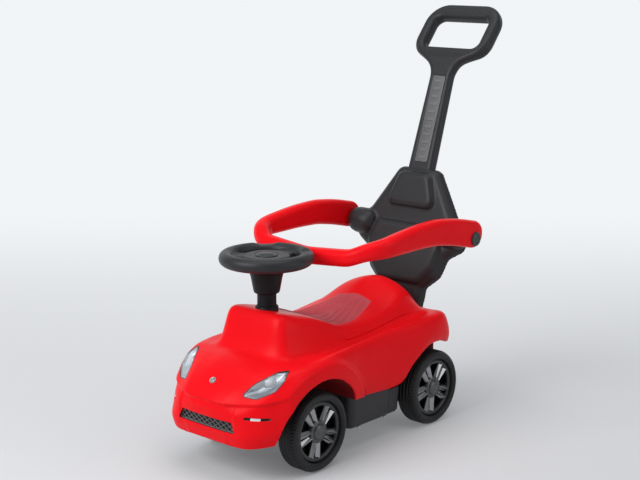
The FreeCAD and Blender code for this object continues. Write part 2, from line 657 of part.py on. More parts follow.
# Horn button in the hub over its rubber squeaker bulb
HORN_BASE_Z = HUB_TOP_Z - HORN_DEPTH
HORN_SEAT_Z = HORN_BASE_Z + HORN_TRAVEL + 3
HORN_R = HORN_D / 2 - SLIDE
HORN_BALL_R = (HORN_R ** 2 + HORN_DOME ** 2) / (2 * HORN_DOME)
horn = rod(2 * HORN_R, V(0, 0, HORN_SEAT_Z), Z_AXIS, HUB_TOP_Z + HORN_DOME - HORN_SEAT_Z)
horn = horn.common(Part.makeSphere(HORN_BALL_R, V(0, 0, HUB_TOP_Z + HORN_DOME - HORN_BALL_R)))
parts["horn_button"] = horn
parts["horn_bulb"] = rod(BULB_D, V(0, 0, HORN_BASE_Z), Z_AXIS, HORN_SEAT_Z - HORN_BASE_Z)

# Steering shaft, crank, knuckles and tie rod: a parallelogram, so all of them turn alike
PAN_TOP = PAN_Z + PAN_FLOOR
PAD_TOP = PAN_TOP + PAN_PAD
TIE_Z = PAD_TOP + 4
ARM_Z = TIE_Z + TIE_T + SEAM
KNUCKLE_BOTTOM = PAD_TOP + SLIDE
KNUCKLE_TOP = 2 * AXLE_Z - KNUCKLE_BOTTOM - 4
BRIDGE_Z = KNUCKLE_TOP + SLIDE
STUB_FACE = 20.0
STUB_ROOT = 6.0
CRANK_HUB_D = 24.0
CRANK_HUB_H = 16.0
OPEN_PIVOT = 0.3
shaft = rod(SHAFT_D, V(0, 0, PAN_TOP + SLIDE), Z_AXIS, SHAFT_TOP_Z - PAN_TOP - SLIDE)
parts["steering_shaft"] = shaft.cut(bolt)


def steer_arm(x, z, play):
    """Flat arm from a pivot at x back to its tie rod pin."""
    plate = block(x - ARM_W / 2, x + ARM_W / 2, 0, STEER_ARM, z, z + ARM_T)
    end = rod(ARM_W, V(x, STEER_ARM, z), Z_AXIS, ARM_T)
    pin_hole = rod(TIE_PIN_D + 2 * play, V(x, STEER_ARM, z - 1), Z_AXIS, ARM_T + 2)
    return plate.fuse(end).cut(pin_hole)


crank = steer_arm(0, ARM_Z, OPEN_PIVOT).fuse(rod(CRANK_HUB_D, V(0, 0, ARM_Z), Z_AXIS, CRANK_HUB_H))
parts["steering_crank"] = crank.cut(rod(SHAFT_D, V(0, 0, PAN_Z), Z_AXIS, STEER_RIM_Z))


def knuckle(play):
    barrel = rod(KNUCKLE_D, V(KINGPIN_X, 0, KNUCKLE_BOTTOM), Z_AXIS, KNUCKLE_TOP - KNUCKLE_BOTTOM)
    stub_boss = rod(KNUCKLE_D - 4, V(KINGPIN_X, 0, AXLE_Z), X_AXIS, STUB_FACE)
    body = barrel.fuse([stub_boss, steer_arm(KINGPIN_X, ARM_Z, play)])
    king_bore = rod(KINGPIN_D + 2 * RUN, V(KINGPIN_X, 0, PAN_Z), Z_AXIS, BRIDGE_Z)
    return body.cut([king_bore, stub_axle])


CLIP_X = WHEEL_OUT_X - TRIM_SET_BACK - CLIP_T
STUB_END = WHEEL_OUT_X - CAP_WALL - 1
stub_axle = rod(AXLE_D, V(KINGPIN_X + STUB_ROOT, 0, AXLE_Z), X_AXIS, STUB_END - KINGPIN_X - STUB_ROOT)
clip = rod(CLIP_D, V(CLIP_X, 0, AXLE_Z), X_AXIS, CLIP_T)
parts["knuckle_left"] = knuckle(RUN)
parts["knuckle_right"] = mirrored(knuckle(OPEN_PIVOT))
parts["stub_axle_left"] = stub_axle
parts["stub_axle_right"] = mirrored(stub_axle)
clip_ring = clip.cut(stub_axle)
parts["stub_clip_left"] = clip_ring
parts["stub_clip_right"] = mirrored(clip_ring)

tie_bar = block(-KINGPIN_X, KINGPIN_X, STEER_ARM - ARM_W / 2, STEER_ARM + ARM_W / 2, TIE_Z, TIE_Z + TIE_T)
tie_ends = [rod(ARM_W, V(x, STEER_ARM, TIE_Z), Z_AXIS, TIE_T) for x in (-KINGPIN_X, KINGPIN_X)]
tie_pins = [rod(TIE_PIN_D, V(x, STEER_ARM, TIE_Z), Z_AXIS, TIE_T + SEAM + ARM_T + 1)
            for x in (-KINGPIN_X, 0, KINGPIN_X)]
parts["tie_rod"] = tie_bar.fuse(tie_ends + tie_pins)

# Bridge over the kingpins, on two posts of the floor pan
BRIDGE_W = 32.0
BRIDGE_NOSE = 14.0
bridge = block(-KINGPIN_X, KINGPIN_X, -BRIDGE_W / 2, BRIDGE_W / 2, BRIDGE_Z, BRIDGE_Z + BRIDGE_T)
bridge = bridge.fuse([rod(BRIDGE_W, V(x, 0, BRIDGE_Z), Z_AXIS, BRIDGE_T) for x in (-KINGPIN_X, KINGPIN_X)])
bridge = bridge.fuse(block(-BRIDGE_POST_X - BRIDGE_NOSE, BRIDGE_POST_X + BRIDGE_NOSE,
                           BRIDGE_POST_Y - BRIDGE_NOSE, 0, BRIDGE_Z, BRIDGE_Z + BRIDGE_T))
king_pin = rod(KINGPIN_D, V(KINGPIN_X, 0, PAN_Z + 1), Z_AXIS, BRIDGE_Z + BRIDGE_T - PAN_Z - 1)
king_pin = king_pin.fuse(rod(KINGPIN_D + 6, V(KINGPIN_X, 0, BRIDGE_Z + BRIDGE_T), Z_AXIS, 3))
king_pins = both_sides(king_pin)
post_places = [V(x, BRIDGE_POST_Y, 0) for x in (-BRIDGE_POST_X, BRIDGE_POST_X)]
parts["kingpins"] = king_pins
shaft_run = rod(SHAFT_D + 2 * RUN, V(0, 0, PAN_TOP), Z_AXIS, STEER_RIM_Z)


def screw(seat, axis):
    """Pan head screw whose head sits on a face at seat, with its shank along the axis."""
    shank = rod(SCREW_D, seat, axis, SCREW_LENGTH)
    head = rod(SCREW_HEAD_D, seat - axis * SCREW_HEAD_T, axis, SCREW_HEAD_T)
    return shank.fuse(head)


bridge_screws = [screw(p + Z_AXIS * (BRIDGE_Z + BRIDGE_T), Z_AXIS * -1) for p in post_places]
parts["bridge_screws"] = Part.makeCompound(bridge_screws)
parts["steering_bridge"] = bridge.cut([shaft_run, king_pins] + bridge_screws)

# Floor pan: a tray that closes the body below and carries both axles
MID_FLANK = BODY_HALF_W - max(inset_mm for y, inset_mm in FLANK_INSET if 0 < y < WHEELBASE)
PAN_MID_HALF = MID_FLANK - LIP_TUCK - SHELL_T - PAN_GAP
PAN_MID_REAR = WHEELBASE - REAR_ARCH_R - SHELL_T - PAN_MID_REAR_GAP
PAN_REAR_Y = TAIL_Y - PAN_REAR_SET
SILL_TOP = 124.0
MID_CORNER = 14.0


def pan_tray(x_half, y0, y1, height, corner):
    """Open tray with a floor and a wall of its own height."""
    outline = half_to_full([(x_half, y0, corner), (x_half, y1, corner)])
    hollow = half_to_full([(x_half - PAN_WALL, y0 + PAN_WALL, corner - PAN_WALL),
                           (x_half - PAN_WALL, y1 - PAN_WALL, corner - PAN_WALL)])
    tray = prism(outline, lambda x, y: V(x, y, PAN_Z), Z_AXIS * height)
    return tray, prism(hollow, lambda x, y: V(x, y, PAN_TOP), Z_AXIS * height)


trays = [pan_tray(PAN_MID_HALF, PAN_MID_FRONT, PAN_MID_REAR, SILL_TOP - PAN_Z, MID_CORNER),
         pan_tray(PAN_FRONT_HALF, PAN_FRONT_Y, PAN_MID_FRONT + MID_CORNER, PAN_FLOOR + PAN_LIP, PAN_LIP),
         pan_tray(PAN_REAR_HALF, PAN_MID_REAR - MID_CORNER, PAN_REAR_Y, PAN_REAR_TOP - PAN_Z, MID_CORNER)]
rear_room = pan_tray(PAN_REAR_HALF, PAN_MID_REAR - 2 * MID_CORNER, PAN_REAR_Y, PAN_REAR_TOP, MID_CORNER)[1]
pan = trays[0][0].fuse([trays[1][0], trays[2][0]]).cut([trays[0][1], trays[1][1], rear_room])
pads_at = [V(x, 0, PAN_Z) for x in (-KINGPIN_X, 0, KINGPIN_X)]
pan = pan.fuse([rod(BRIDGE_W, p, Z_AXIS, PAD_TOP - PAN_Z) for p in pads_at])
pan = pan.fuse(block(-KINGPIN_X, KINGPIN_X, -BRIDGE_W / 2, BRIDGE_W / 2, PAN_Z, PAN_TOP))
pan = pan.fuse([rod(BRIDGE_POST_D, p + Z_AXIS * PAN_Z, Z_AXIS, BRIDGE_Z - PAN_Z) for p in post_places])
block_out = WHEEL_IN_X - STUB_ROOT / 2
axle_blocks = [block(x, x + AXLE_BLOCK_T, WHEELBASE - AXLE_BLOCK_W / 2, WHEELBASE + AXLE_BLOCK_W / 2,
                     PAN_Z, AXLE_Z + AXLE_BLOCK_W / 2)
               for x in (block_out - AXLE_BLOCK_T, -block_out)]
pan = pan.fuse(axle_blocks)
rear_axle = rod(AXLE_D, V(-STUB_END, WHEELBASE, AXLE_Z), X_AXIS, 2 * STUB_END)
parts["rear_axle"] = rear_axle
parts["rear_axle_clips"] = both_sides(clip_ring.translated(V(0, WHEELBASE, 0)))

# Screw bosses that hang from the shell to the floor pan
BOSS_PLACES = [V(PAN_MID_HALF - 11, PAN_MID_FRONT + 20, 0), V(PAN_MID_HALF - 11, PAN_MID_REAR - 20, 0),
               V(PAN_REAR_HALF - 12, PAN_REAR_Y - 16, 0), V(PAN_FRONT_HALF - 20, PAN_MID_FRONT - 38, 0)]
saddle_room = OUTER.cut(LINING).common(saddle_prism(SEAM))
boss_list = []
boss_screws = []
for place in BOSS_PLACES:
    for side in (1, -1):
        foot = V(side * place.x, place.y, PAN_TOP)
        boss = rod(BOSS_D, foot, Z_AXIS, STEER_RIM_Z).common(OUTER.fuse(block(
            -BODY_HALF_W, BODY_HALF_W, NOSE_Y, TAIL_Y, PAN_TOP, SADDLE_BASE)))
        boss_list.append(boss.cut(saddle_room))
        boss_screws.append(screw(foot - Z_AXIS * PAN_FLOOR, Z_AXIS))
shell = shell.fuse(boss_list).cut(boss_screws)
parts["floor_screws"] = Part.makeCompound(boss_screws)
parts["floor_pan"] = pan.cut([king_pins, shaft_run, rear_axle] + bridge_screws + boss_screws)
LINK_ROOM = 10.0
shell = shell.cut(block(-WHEEL_IN_X, WHEEL_IN_X, -STEER_ARM - LINK_ROOM, STEER_ARM + ARM_W + LINK_ROOM,
                        0, BRIDGE_Z + BRIDGE_T + LINK_ROOM))

# Wheels: a black moulded wheel, a grey spoke trim let into its face and a hub cap
WHEEL_R = WHEEL_D / 2
RIM_WELL_R = RIM_D / 2
HUB_R = HUB_D / 2
HUB_START = KINGPIN_X + STUB_FACE + SLIDE
HUB_END = CLIP_X - SLIDE
WEB_BACK = WHEEL_IN_X + 14
WEB_FRONT = WEB_BACK + WHEEL_WALL
BORE_R = AXLE_D / 2 + RUN
TRIM_OUT = WHEEL_OUT_X - TRIM_SET_BACK
TRIM_IN = TRIM_OUT - TRIM_T


def about_axle(points):
    """Solid turned about the front axle from (x, radius) points."""
    outline = [V(x, 0, AXLE_Z + radius) for x, radius in points]
    return Part.Face(Part.makePolygon(outline + outline[:1])).revolve(V(0, 0, AXLE_Z), X_AXIS, 360)


wheel = about_axle([
    (WHEEL_IN_X, WHEEL_R - 6), (WHEEL_IN_X + 2, WHEEL_R - 2), (WHEEL_IN_X + 6, WHEEL_R),
    (WHEEL_OUT_X - 8, WHEEL_R), (WHEEL_OUT_X - 3, WHEEL_R - 3), (WHEEL_OUT_X, WHEEL_R - 9),
    (WHEEL_OUT_X, RIM_WELL_R + 2), (WHEEL_OUT_X - 2, RIM_WELL_R), (WEB_FRONT, RIM_WELL_R),
    (WEB_FRONT, HUB_R), (HUB_END, HUB_R), (HUB_END, BORE_R), (HUB_START, BORE_R), (HUB_START, HUB_R),
    (WEB_BACK, HUB_R), (WEB_BACK, RIM_WELL_R + WHEEL_WALL),
    (WHEEL_OUT_X - WHEEL_WALL, RIM_WELL_R + WHEEL_WALL), (WHEEL_OUT_X - WHEEL_WALL, WHEEL_R - WHEEL_WALL - 6),
    (WHEEL_OUT_X - 9, WHEEL_R - WHEEL_WALL), (WHEEL_IN_X + 6, WHEEL_R - WHEEL_WALL)])

trim_ring_in = RIM_WELL_R - SLIDE - TRIM_RING
trim = about_axle([(TRIM_IN, trim_ring_in), (TRIM_OUT, trim_ring_in), (TRIM_OUT, RIM_WELL_R - SLIDE),
                   (TRIM_IN, RIM_WELL_R - SLIDE)])
trim_hub_r = HUB_R + 7
trim = trim.fuse(about_axle([(TRIM_IN, HUB_R + SLIDE), (TRIM_OUT, HUB_R + SLIDE), (TRIM_OUT, trim_hub_r),
                             (TRIM_IN, trim_hub_r)]))
LEG_W = 7.0
LEG_ROOT = 5.0
LEG_SPREAD = 13.0
for i in range(SPOKES):
    for side in (1, -1):
        leg = [V(TRIM_IN, side * LEG_ROOT - LEG_W / 2, AXLE_Z + trim_hub_r - 3),
               V(TRIM_IN, side * LEG_ROOT + LEG_W / 2, AXLE_Z + trim_hub_r - 3),
               V(TRIM_IN, side * LEG_SPREAD + LEG_W / 2, AXLE_Z + trim_ring_in + 3),
               V(TRIM_IN, side * LEG_SPREAD - LEG_W / 2, AXLE_Z + trim_ring_in + 3)]
        spoke_leg = Part.Face(Part.makePolygon(leg + leg[:1])).extrude(X_AXIS * (TRIM_T - 2))
        trim = trim.fuse(spoke_leg.rotate(V(0, 0, AXLE_Z), X_AXIS, i * 360 / SPOKES))
cap_r = HUB_R + 4
hub_cap = about_axle([(TRIM_OUT, HUB_R + SLIDE), (TRIM_OUT, cap_r), (WHEEL_OUT_X - 2, cap_r),
                      (WHEEL_OUT_X, cap_r - 4), (WHEEL_OUT_X, 0), (WHEEL_OUT_X - CAP_WALL, 0),
                      (WHEEL_OUT_X - CAP_WALL, HUB_R + SLIDE)])
for end, y in (("front", 0), ("rear", WHEELBASE)):
    for piece, shape in (("wheel", wheel), ("wheel_trim", trim), ("hub_cap", hub_cap)):
        placed = shape.translated(V(0, y, 0))
        parts[end + "_left_" + piece] = placed
        parts[end + "_right_" + piece] = mirrored(placed)

# Guard rail: one U-shaped band, hung on pins in the backrest's ears
LOBE_Z = PIVOT_Z + LOBE_RISE
GUARD_FRONT_Y = STEER_RIM_D / 2 + GUARD_WHEEL_GAP + GUARD_T / 2
GUARD_HEIGHTS = [(GUARD_FRONT_Y, 397, 40), (GUARD_FRONT_Y + 14, 402, 36), (GUARD_FRONT_Y + 32, 408, 35),
                 (GUARD_FRONT_Y + 62, 414, 37), (GUARD_FRONT_Y + 102, 419, 42), (PIVOT_Y - 178, 425, 50),
                 (PIVOT_Y - 118, 427, 54), (PIVOT_Y - 63, 418, 57), (PIVOT_Y - 20, LOBE_Z + 6, LOBE_H),
                 (PIVOT_Y, LOBE_Z, LOBE_H)]
GUARD_BOW = 4.0


def guard_ring(x, y, heading):
    """Rounded section of the guard band; heading is the way it runs in plan, in radians from +X."""
    mid = on_line([(p, z) for p, z, h in GUARD_HEIGHTS], y)
    half_h = on_line([(p, h) for p, z, h in GUARD_HEIGHTS], y) / 2
    side = V(-math.sin(heading), math.cos(heading), 0)
    corners = [(-GUARD_T / 2, -half_h, GUARD_ROUND), (GUARD_T / 2, -half_h, GUARD_ROUND),
               (GUARD_T / 2, half_h, GUARD_ROUND), (-GUARD_T / 2, half_h, GUARD_ROUND)]
    return rounded_outline(corners, lambda a, b: V(x, y, mid) + side * a + Z_AXIS * b)


left_rings = []
for back in (0, 20, 43, 63, 90, 118, 148, 178):
    left_rings.append(guard_ring(GUARD_HALF, PIVOT_Y - back, -math.pi / 2))
for ahead in (132, 102):
    left_rings.append(guard_ring(GUARD_HALF, GUARD_FRONT_Y + ahead, -math.pi / 2))
corner_mid = V(GUARD_HALF - GUARD_CORNER, GUARD_FRONT_Y + GUARD_BOW + GUARD_CORNER, 0)
for turn in range(0, 91, 10):
    angle = math.radians(turn)
    left_rings.append(guard_ring(corner_mid.x + GUARD_CORNER * math.cos(angle),
                                 corner_mid.y - GUARD_CORNER * math.sin(angle), -math.pi / 2 - angle))
right_rings = [mirrored(ring) for ring in reversed(left_rings)]
middle_ring = guard_ring(0, GUARD_FRONT_Y, -math.pi)
guard = Part.makeLoft(left_rings + [middle_ring] + right_rings, True, True)
lobe = rod(LOBE_H, V(GUARD_IN_X, PIVOT_Y, LOBE_Z), X_AXIS, GUARD_T)
guard = guard.fuse([lobe, mirrored(lobe)])
guard = guard.cut(rod(PIVOT_D + 2 * RUN, PIVOT - X_AXIS * 2 * GUARD_HALF, X_AXIS, 4 * GUARD_HALF))
parts["guard_rail"] = guard
pin = rod(PIVOT_D, PIVOT + X_AXIS * (BACK_EAR_HALF - EAR_BOSS_LENGTH + 4), X_AXIS,
          GUARD_OUT_X + SLIDE - BACK_EAR_HALF + EAR_BOSS_LENGTH - 4)
pin = pin.fuse(rod(PIVOT_HEAD_D, PIVOT + X_AXIS * (GUARD_OUT_X + SLIDE), X_AXIS, PIVOT_HEAD_T))
parts["guard_pivot_pins"] = both_sides(pin)

# Screws that hold the backrest cover and its stem
COVER_SCREWS = [(34, -60), (90, 60), (60, 190)]
cover_screws = []
cover_posts = []
for x, u in COVER_SCREWS:
    for side in (1, -1):
        seat = on_back(BACK_DEPTH - SCREW_HEAD_T)(side * x, u)
        cover_screws.append(screw(seat, BACK_IN * -1))
        cover_posts.append(rod(BOSS_D, on_back(BACK_WALL)(side * x, u), BACK_IN, BACK_DEPTH - 2 * BACK_WALL))
parts["backrest_screws"] = Part.makeCompound(cover_screws)
parts["backrest_front"] = parts["backrest_front"].fuse(cover_posts).cut(cover_screws)
parts["backrest_cover"] = parts["backrest_cover"].cut(cover_screws)
parts["body_shell"] = shell

low = min(shape.BoundBox.YMin for shape in parts.values())
high = max(shape.BoundBox.YMax for shape in parts.values())
TO_ORIGIN = V(0, -(low + high) / 2, 0)
os.makedirs("parts", exist_ok=True)
for node, shape in parts.items():
    shape.translated(TO_ORIGIN).exportStep("parts/" + node + ".step")
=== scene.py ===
import math
import bmesh
import bpy
import numpy as np
from mathutils import Matrix, Vector
from mathutils.bvhtree import BVHTree


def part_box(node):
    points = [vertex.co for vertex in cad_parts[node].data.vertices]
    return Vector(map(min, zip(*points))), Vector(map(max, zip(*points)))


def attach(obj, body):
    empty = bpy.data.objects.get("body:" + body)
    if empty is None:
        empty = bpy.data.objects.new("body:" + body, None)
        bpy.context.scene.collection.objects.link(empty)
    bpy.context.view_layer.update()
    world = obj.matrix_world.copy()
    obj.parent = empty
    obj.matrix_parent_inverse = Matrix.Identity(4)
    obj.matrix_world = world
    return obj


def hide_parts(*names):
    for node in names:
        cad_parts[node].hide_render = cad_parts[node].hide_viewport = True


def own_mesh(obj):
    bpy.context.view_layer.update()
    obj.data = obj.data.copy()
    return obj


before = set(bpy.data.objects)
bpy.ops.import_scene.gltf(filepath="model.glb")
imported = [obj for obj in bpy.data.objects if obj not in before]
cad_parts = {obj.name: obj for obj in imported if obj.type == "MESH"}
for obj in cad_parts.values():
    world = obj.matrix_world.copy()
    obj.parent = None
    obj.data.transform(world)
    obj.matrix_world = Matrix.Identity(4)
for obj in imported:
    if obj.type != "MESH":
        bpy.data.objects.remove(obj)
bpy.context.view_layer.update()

# Body skin: one sheet of red plastic that wraps bonnet, dash pod, flanks and rear deck.
# The shell, the saddle and the lamps are all cut from it. It is drawn in millimetres from the
# front axle, nose towards -Y, by lines along its length, as the mould's sections were lofted.
wheel_low, wheel_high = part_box("front_left_wheel")
TO_FRAME = Matrix.Translation((0, (wheel_low.y + wheel_high.y) / 2, 0)) @ Matrix.Scale(0.001, 4)
AXLE_Z = (wheel_low.z + wheel_high.z) * 500
WHEELBASE = (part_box("rear_left_wheel")[0].y - wheel_low.y) * 1000
HALF_WIDTH = 151
NOSE_Y = -188
TAIL_Y = WHEELBASE + 68


def rear(distance):
    """A place measured from the rear axle."""
    return WHEELBASE + distance


STATIONS = [NOSE_Y, NOSE_Y + 6, NOSE_Y + 17, -152, -124, -94, -74, -60, -50, -40, -26, 10, 45, 80, 106,
            126, 160, 215, rear(-97), rear(-54), rear(-24), rear(-2), rear(16), rear(32), rear(50),
            rear(60), TAIL_Y]
FLANK_INSET = [(NOSE_Y, 92), (NOSE_Y + 6, 71), (NOSE_Y + 17, 50), (-152, 30), (-124, 10), (-94, 3), (-38, 0),
               (10, 0), (45, 2), (80, 6), (126, 12), (215, 12), (rear(-97), 7), (rear(-54), 2), (rear(0), 0),
               (rear(32), 4), (rear(50), 10), (rear(60), 20), (TAIL_Y, 36)]
LIP_LINE = [(NOSE_Y, 80), (NOSE_Y + 6, 79), (NOSE_Y + 17, 79), (-94, 85), (10, 93), (106, 119),
            (rear(-102), 107), (rear(-60), 140), (rear(-30), 178), (rear(10), 178), (rear(40), 172),
            (TAIL_Y, 165)]
BELT_LINE = [(NOSE_Y, 133), (NOSE_Y + 6, 136), (NOSE_Y + 17, 142), (-152, 153), (-124, 178), (-94, 203),
             (-60, 214), (10, 220), (126, 224), (215, 229), (rear(-54), 235), (rear(32), 238),
             (rear(50), 234), (rear(60), 224), (TAIL_Y, 212)]
FOOT_HALF = [(NOSE_Y, 30), (NOSE_Y + 17, 52), (-152, 68), (-124, 77), (-74, 86), (-40, 93), (10, 101),
             (80, 104), (126, 105), (rear(-54), 105), (rear(0), 98), (rear(32), 92), (rear(50), 84),
             (TAIL_Y, 60)]
FOOT_LINE = [(NOSE_Y, 145), (NOSE_Y + 6, 151), (NOSE_Y + 17, 165), (-152, 184), (-124, 203), (-94, 217),
             (-60, 225), (10, 223), (80, 217), (126, 214), (160, 215), (215, 220), (rear(-54), 230),
             (rear(16), 238), (rear(50), 238), (rear(60), 231), (TAIL_Y, 221)]
CROWN_HALF = [(NOSE_Y, 20), (NOSE_Y + 17, 36), (-152, 46), (-74, 54), (-60, 54), (-50, 58), (-40, 68),
              (-26, 77), (10, 82), (80, 86), (126, 88), (rear(-97), 88), (rear(-54), 84), (rear(-24), 76),
              (rear(16), 64), (TAIL_Y, 40)]
CROWN_LINE = [(NOSE_Y, 146), (NOSE_Y + 6, 153), (NOSE_Y + 17, 168), (-152, 188), (-124, 207), (-94, 220),
              (-74, 225), (-60, 229), (-50, 262), (-40, 302), (-26, 307), (10, 299), (45, 290), (80, 277),
              (106, 263), (126, 255), (160, 250), (215, 253), (rear(-97), 262), (rear(-54), 281),
              (rear(-24), 287), (rear(-2), 281), (rear(16), 264), (rear(32), 247), (rear(50), 241),
              (rear(60), 233), (TAIL_Y, 223)]
MIDDLE_RISE = [(NOSE_Y, 1), (-152, 4), (-74, 3), (-40, 2), (10, 0), (80, 3), (126, 7), (160, 8), (215, 11),
               (rear(-97), 16), (rear(-54), 24), (rear(-24), 28), (rear(-2), 26), (rear(16), 14),
               (rear(32), 3), (TAIL_Y, 1)]
BELT_TUCK = [(-124, 12), (-60, 3)]
LIP_TUCK, LIP_BAND, LIP_LEAN = 10, 13, 3
SHOULDER_TUCK, SHOULDER_RISE = 12, 6
WALL_SHARE, CROWN_SHARE, CROWN_PUFF = 0.6, 0.62, 1
NOSE_RAKE, NOSE_RAKE_HALF, NOSE_RAKE_FADE, NOSE_RAKE_Z, NOSE_RAKE_END = 0.28, 62, 50, 155, -94
TAIL_RAKE, TAIL_RAKE_Z, TAIL_RAKE_START = 0.4, 205, rear(16)
ARCHES = [(0, AXLE_Z - 10, AXLE_Z + 40), (WHEELBASE, AXLE_Z - 6, AXLE_Z + 29)]
SKIN_STEP = 3.2
SKIN_COLUMNS = 84
FINE_LONG, FINE_ACROSS = 1600, 400
ARCH_ROWS = (0.2, 1, 1.8, 2.6, 3.6, 4.8, 6.2, 8)
CAP_ROWS, CAP_BLEND, CAP_SMOOTHING = 12, 3, 10


def on_line(line, y):
    """Value at y on a line given by (y, value) points."""
    return float(np.interp(y, [p[0] for p in line], [p[1] for p in line]))


def section_poles(y):
    """Poles of the left half of the body's section at y, from its lower lip to its middle."""
    flank = HALF_WIDTH - on_line(FLANK_INSET, y)
    lip, belt = on_line(LIP_LINE, y), on_line(BELT_LINE, y)
    foot_x, foot = on_line(FOOT_HALF, y), on_line(FOOT_LINE, y)
    crown_x, crown = on_line(CROWN_HALF, y), on_line(CROWN_LINE, y)
    middle = crown + on_line(MIDDLE_RISE, y)
    tuck = on_line(BELT_TUCK, y)
    shoulder_x, shoulder = flank - tuck - SHOULDER_TUCK, belt + SHOULDER_RISE
    half = [(flank - LIP_TUCK, lip), (flank - LIP_LEAN, lip + LIP_BAND), (flank, (lip + belt) / 2),
            (flank - tuck, belt), (shoulder_x, shoulder), ((shoulder_x + foot_x) / 2, (shoulder + foot) / 2),
            (foot_x, foot),
            ((1 - WALL_SHARE) * foot_x + WALL_SHARE * crown_x, (1 - WALL_SHARE) * foot + WALL_SHARE * crown),
            (crown_x, crown), (CROWN_SHARE * crown_x, 0.5 * (crown + middle) + CROWN_PUFF), (0, middle)]
    poles = []
    for x, z in half + [(-x, z) for x, z in reversed(half[:-1])]:
        nose = max(0, (NOSE_RAKE_END - y) / (NOSE_RAKE_END - NOSE_Y))
        nose *= min(1, max(0, 1 - (abs(x) - NOSE_RAKE_HALF) / NOSE_RAKE_FADE))
        tail = max(0, (y - TAIL_RAKE_START) / (TAIL_Y - TAIL_RAKE_START))
        lean = nose * NOSE_RAKE * max(0, NOSE_RAKE_Z - z) + tail * TAIL_RAKE * (TAIL_RAKE_Z - z)
        poles.append((x, y + lean, z))
    return poles


def spline_shares(t, count):
    """Share of each pole of a clamped cubic spline with count poles at parameter t."""
    knots = [0] * 3 + list(range(count - 2)) + [count - 3] * 3
    span = min(int(t), count - 4) + 3
    shares = [1.0]
    for degree in (1, 2, 3):
        grown = [0.0] * (degree + 1)
        for k in range(degree):
            high, low = knots[span + k + 1], knots[span + 1 - degree + k]
            part = shares[k] / (high - low)
            grown[k] += (high - t) * part
            grown[k + 1] += (t - low) * part
        shares = grown
    row = np.zeros(count)
    row[span - 3:span + 1] = shares
    return row


def smooth_step(low, high, value):
    t = np.clip((value - low) / (high - low), 0, 1)
    return t * t * (3 - 2 * t)


net = np.array([section_poles(y) for y in STATIONS])
poles_long, poles_across = net.shape[:2]
middle_t = (poles_across - 3) / 2
fine_long = np.linspace(0, poles_long - 3, FINE_LONG)
fine_y = np.array([spline_shares(t, poles_long) @ np.array(STATIONS) for t in fine_long])
row_places = list(np.arange(NOSE_Y, TAIL_Y, SKIN_STEP)) + [TAIL_Y]
for arch_y, arch_z, arch_r in ARCHES:
    for end in (-1, 1):
        row_places += [arch_y + end * (arch_r - back) for back in ARCH_ROWS]
row_places = [y for y in sorted(row_places) if y <= TAIL_Y]
across_shares = np.array([spline_shares(t, poles_across) for t in np.linspace(0, middle_t, FINE_ACROSS)])
skin_rows = []
for y in row_places:
    section = np.einsum("i,ijk->jk", spline_shares(np.interp(y, fine_y, fine_long), poles_long), net)
    curve = across_shares @ section
    start = 0
    for arch_y, arch_z, arch_r in ARCHES:
        inside = np.hypot(curve[:, 1] - arch_y, curve[:, 2] - arch_z) < arch_r
        if inside.any():
            start = max(start, int(np.nonzero(inside)[0].max()) + 1)
    curve = curve[start:]
    run = np.concatenate([[0], np.cumsum(np.linalg.norm(np.diff(curve, axis=0), axis=1))])
    even = np.linspace(0, run[-1], SKIN_COLUMNS)
    skin_rows.append(np.stack([np.interp(even, run, curve[:, k]) for k in range(3)], axis=1))


def cap_rows(rib):
    """Rows that close the body's end from its rib down to the chord between its lips."""
    chord = np.linspace(rib[0], rib[0] * (0, 1, 1), SKIN_COLUMNS)
    return [rib + (chord - rib) * k / CAP_ROWS for k in range(1, CAP_ROWS + 1)]


def face_outwards(bm):
    """Turns a sheet's faces outwards, going by its highest one."""
    bmesh.ops.recalc_face_normals(bm, faces=bm.faces)
    if max(bm.faces, key=lambda f: f.calc_center_median().z).normal.z < 0:
        bmesh.ops.reverse_faces(bm, faces=bm.faces)


skin_rows = cap_rows(skin_rows[0])[::-1] + skin_rows + cap_rows(skin_rows[-1])
skin = bmesh.new()
bmesh.ops.create_grid(skin, x_segments=SKIN_COLUMNS - 1, y_segments=len(skin_rows) - 1, size=1)
skin.verts.ensure_lookup_table()
for i, row in enumerate(skin_rows):
    for j, place in enumerate(row):
        skin.verts[i * SKIN_COLUMNS + j].co = place
for rib in (CAP_ROWS, len(skin_rows) - 1 - CAP_ROWS):
    near_rib = [skin.verts[i * SKIN_COLUMNS + j] for i in range(rib - CAP_BLEND, rib + CAP_BLEND + 1)
                for j in range(1, SKIN_COLUMNS)]
    for turn in range(CAP_SMOOTHING):
        bmesh.ops.smooth_vert(skin, verts=near_rib, factor=0.5, use_axis_y=True, use_axis_z=True)
bmesh.ops.remove_doubles(skin, verts=skin.verts, dist=0.005)
face_outwards(skin)

# Creases of the skin: a brow where the bonnet turns down into the bumper, a set-back centre panel
# below it and a flare round each front wheel, all pressed into the same sheet.
BROW = [Vector((0, -175, 164)), Vector((63, -168.5, 161.5)), Vector((134.6, -124, 168))]
BROW_STEP = 5
BROW_PROUD, BROW_REACH = 1.6, 18
BUMPER_SET, PANEL_SET = 3.2, 2.6
PANEL_HALF, PANEL_EDGE = 71, 4
BROW_FADE, CHIN_FADE = (-116, -86), (34, 62)
FLARE, FLARE_RING, FLARE_SIDE, FLARE_AHEAD = 8.0, (143, 160), (96, 128), (-128, -88)
brow_normal = (BROW[1] - BROW[0]).cross(BROW[2] - BROW[0]).normalized()
if brow_normal.z < 0:
    brow_normal.negate()


def sheet_parts(bm, test):
    """Faces whose middle passes a test, with their edges and corners, as a bisect wants them."""
    faces = [f for f in bm.faces if test(f.calc_center_median())]
    edges = {e for f in faces for e in f.edges}
    verts = {v for f in faces for v in f.verts}
    return faces + list(edges) + list(verts)


def near_brow(c):
    return c.y < -76 and 138 < c.z < 186


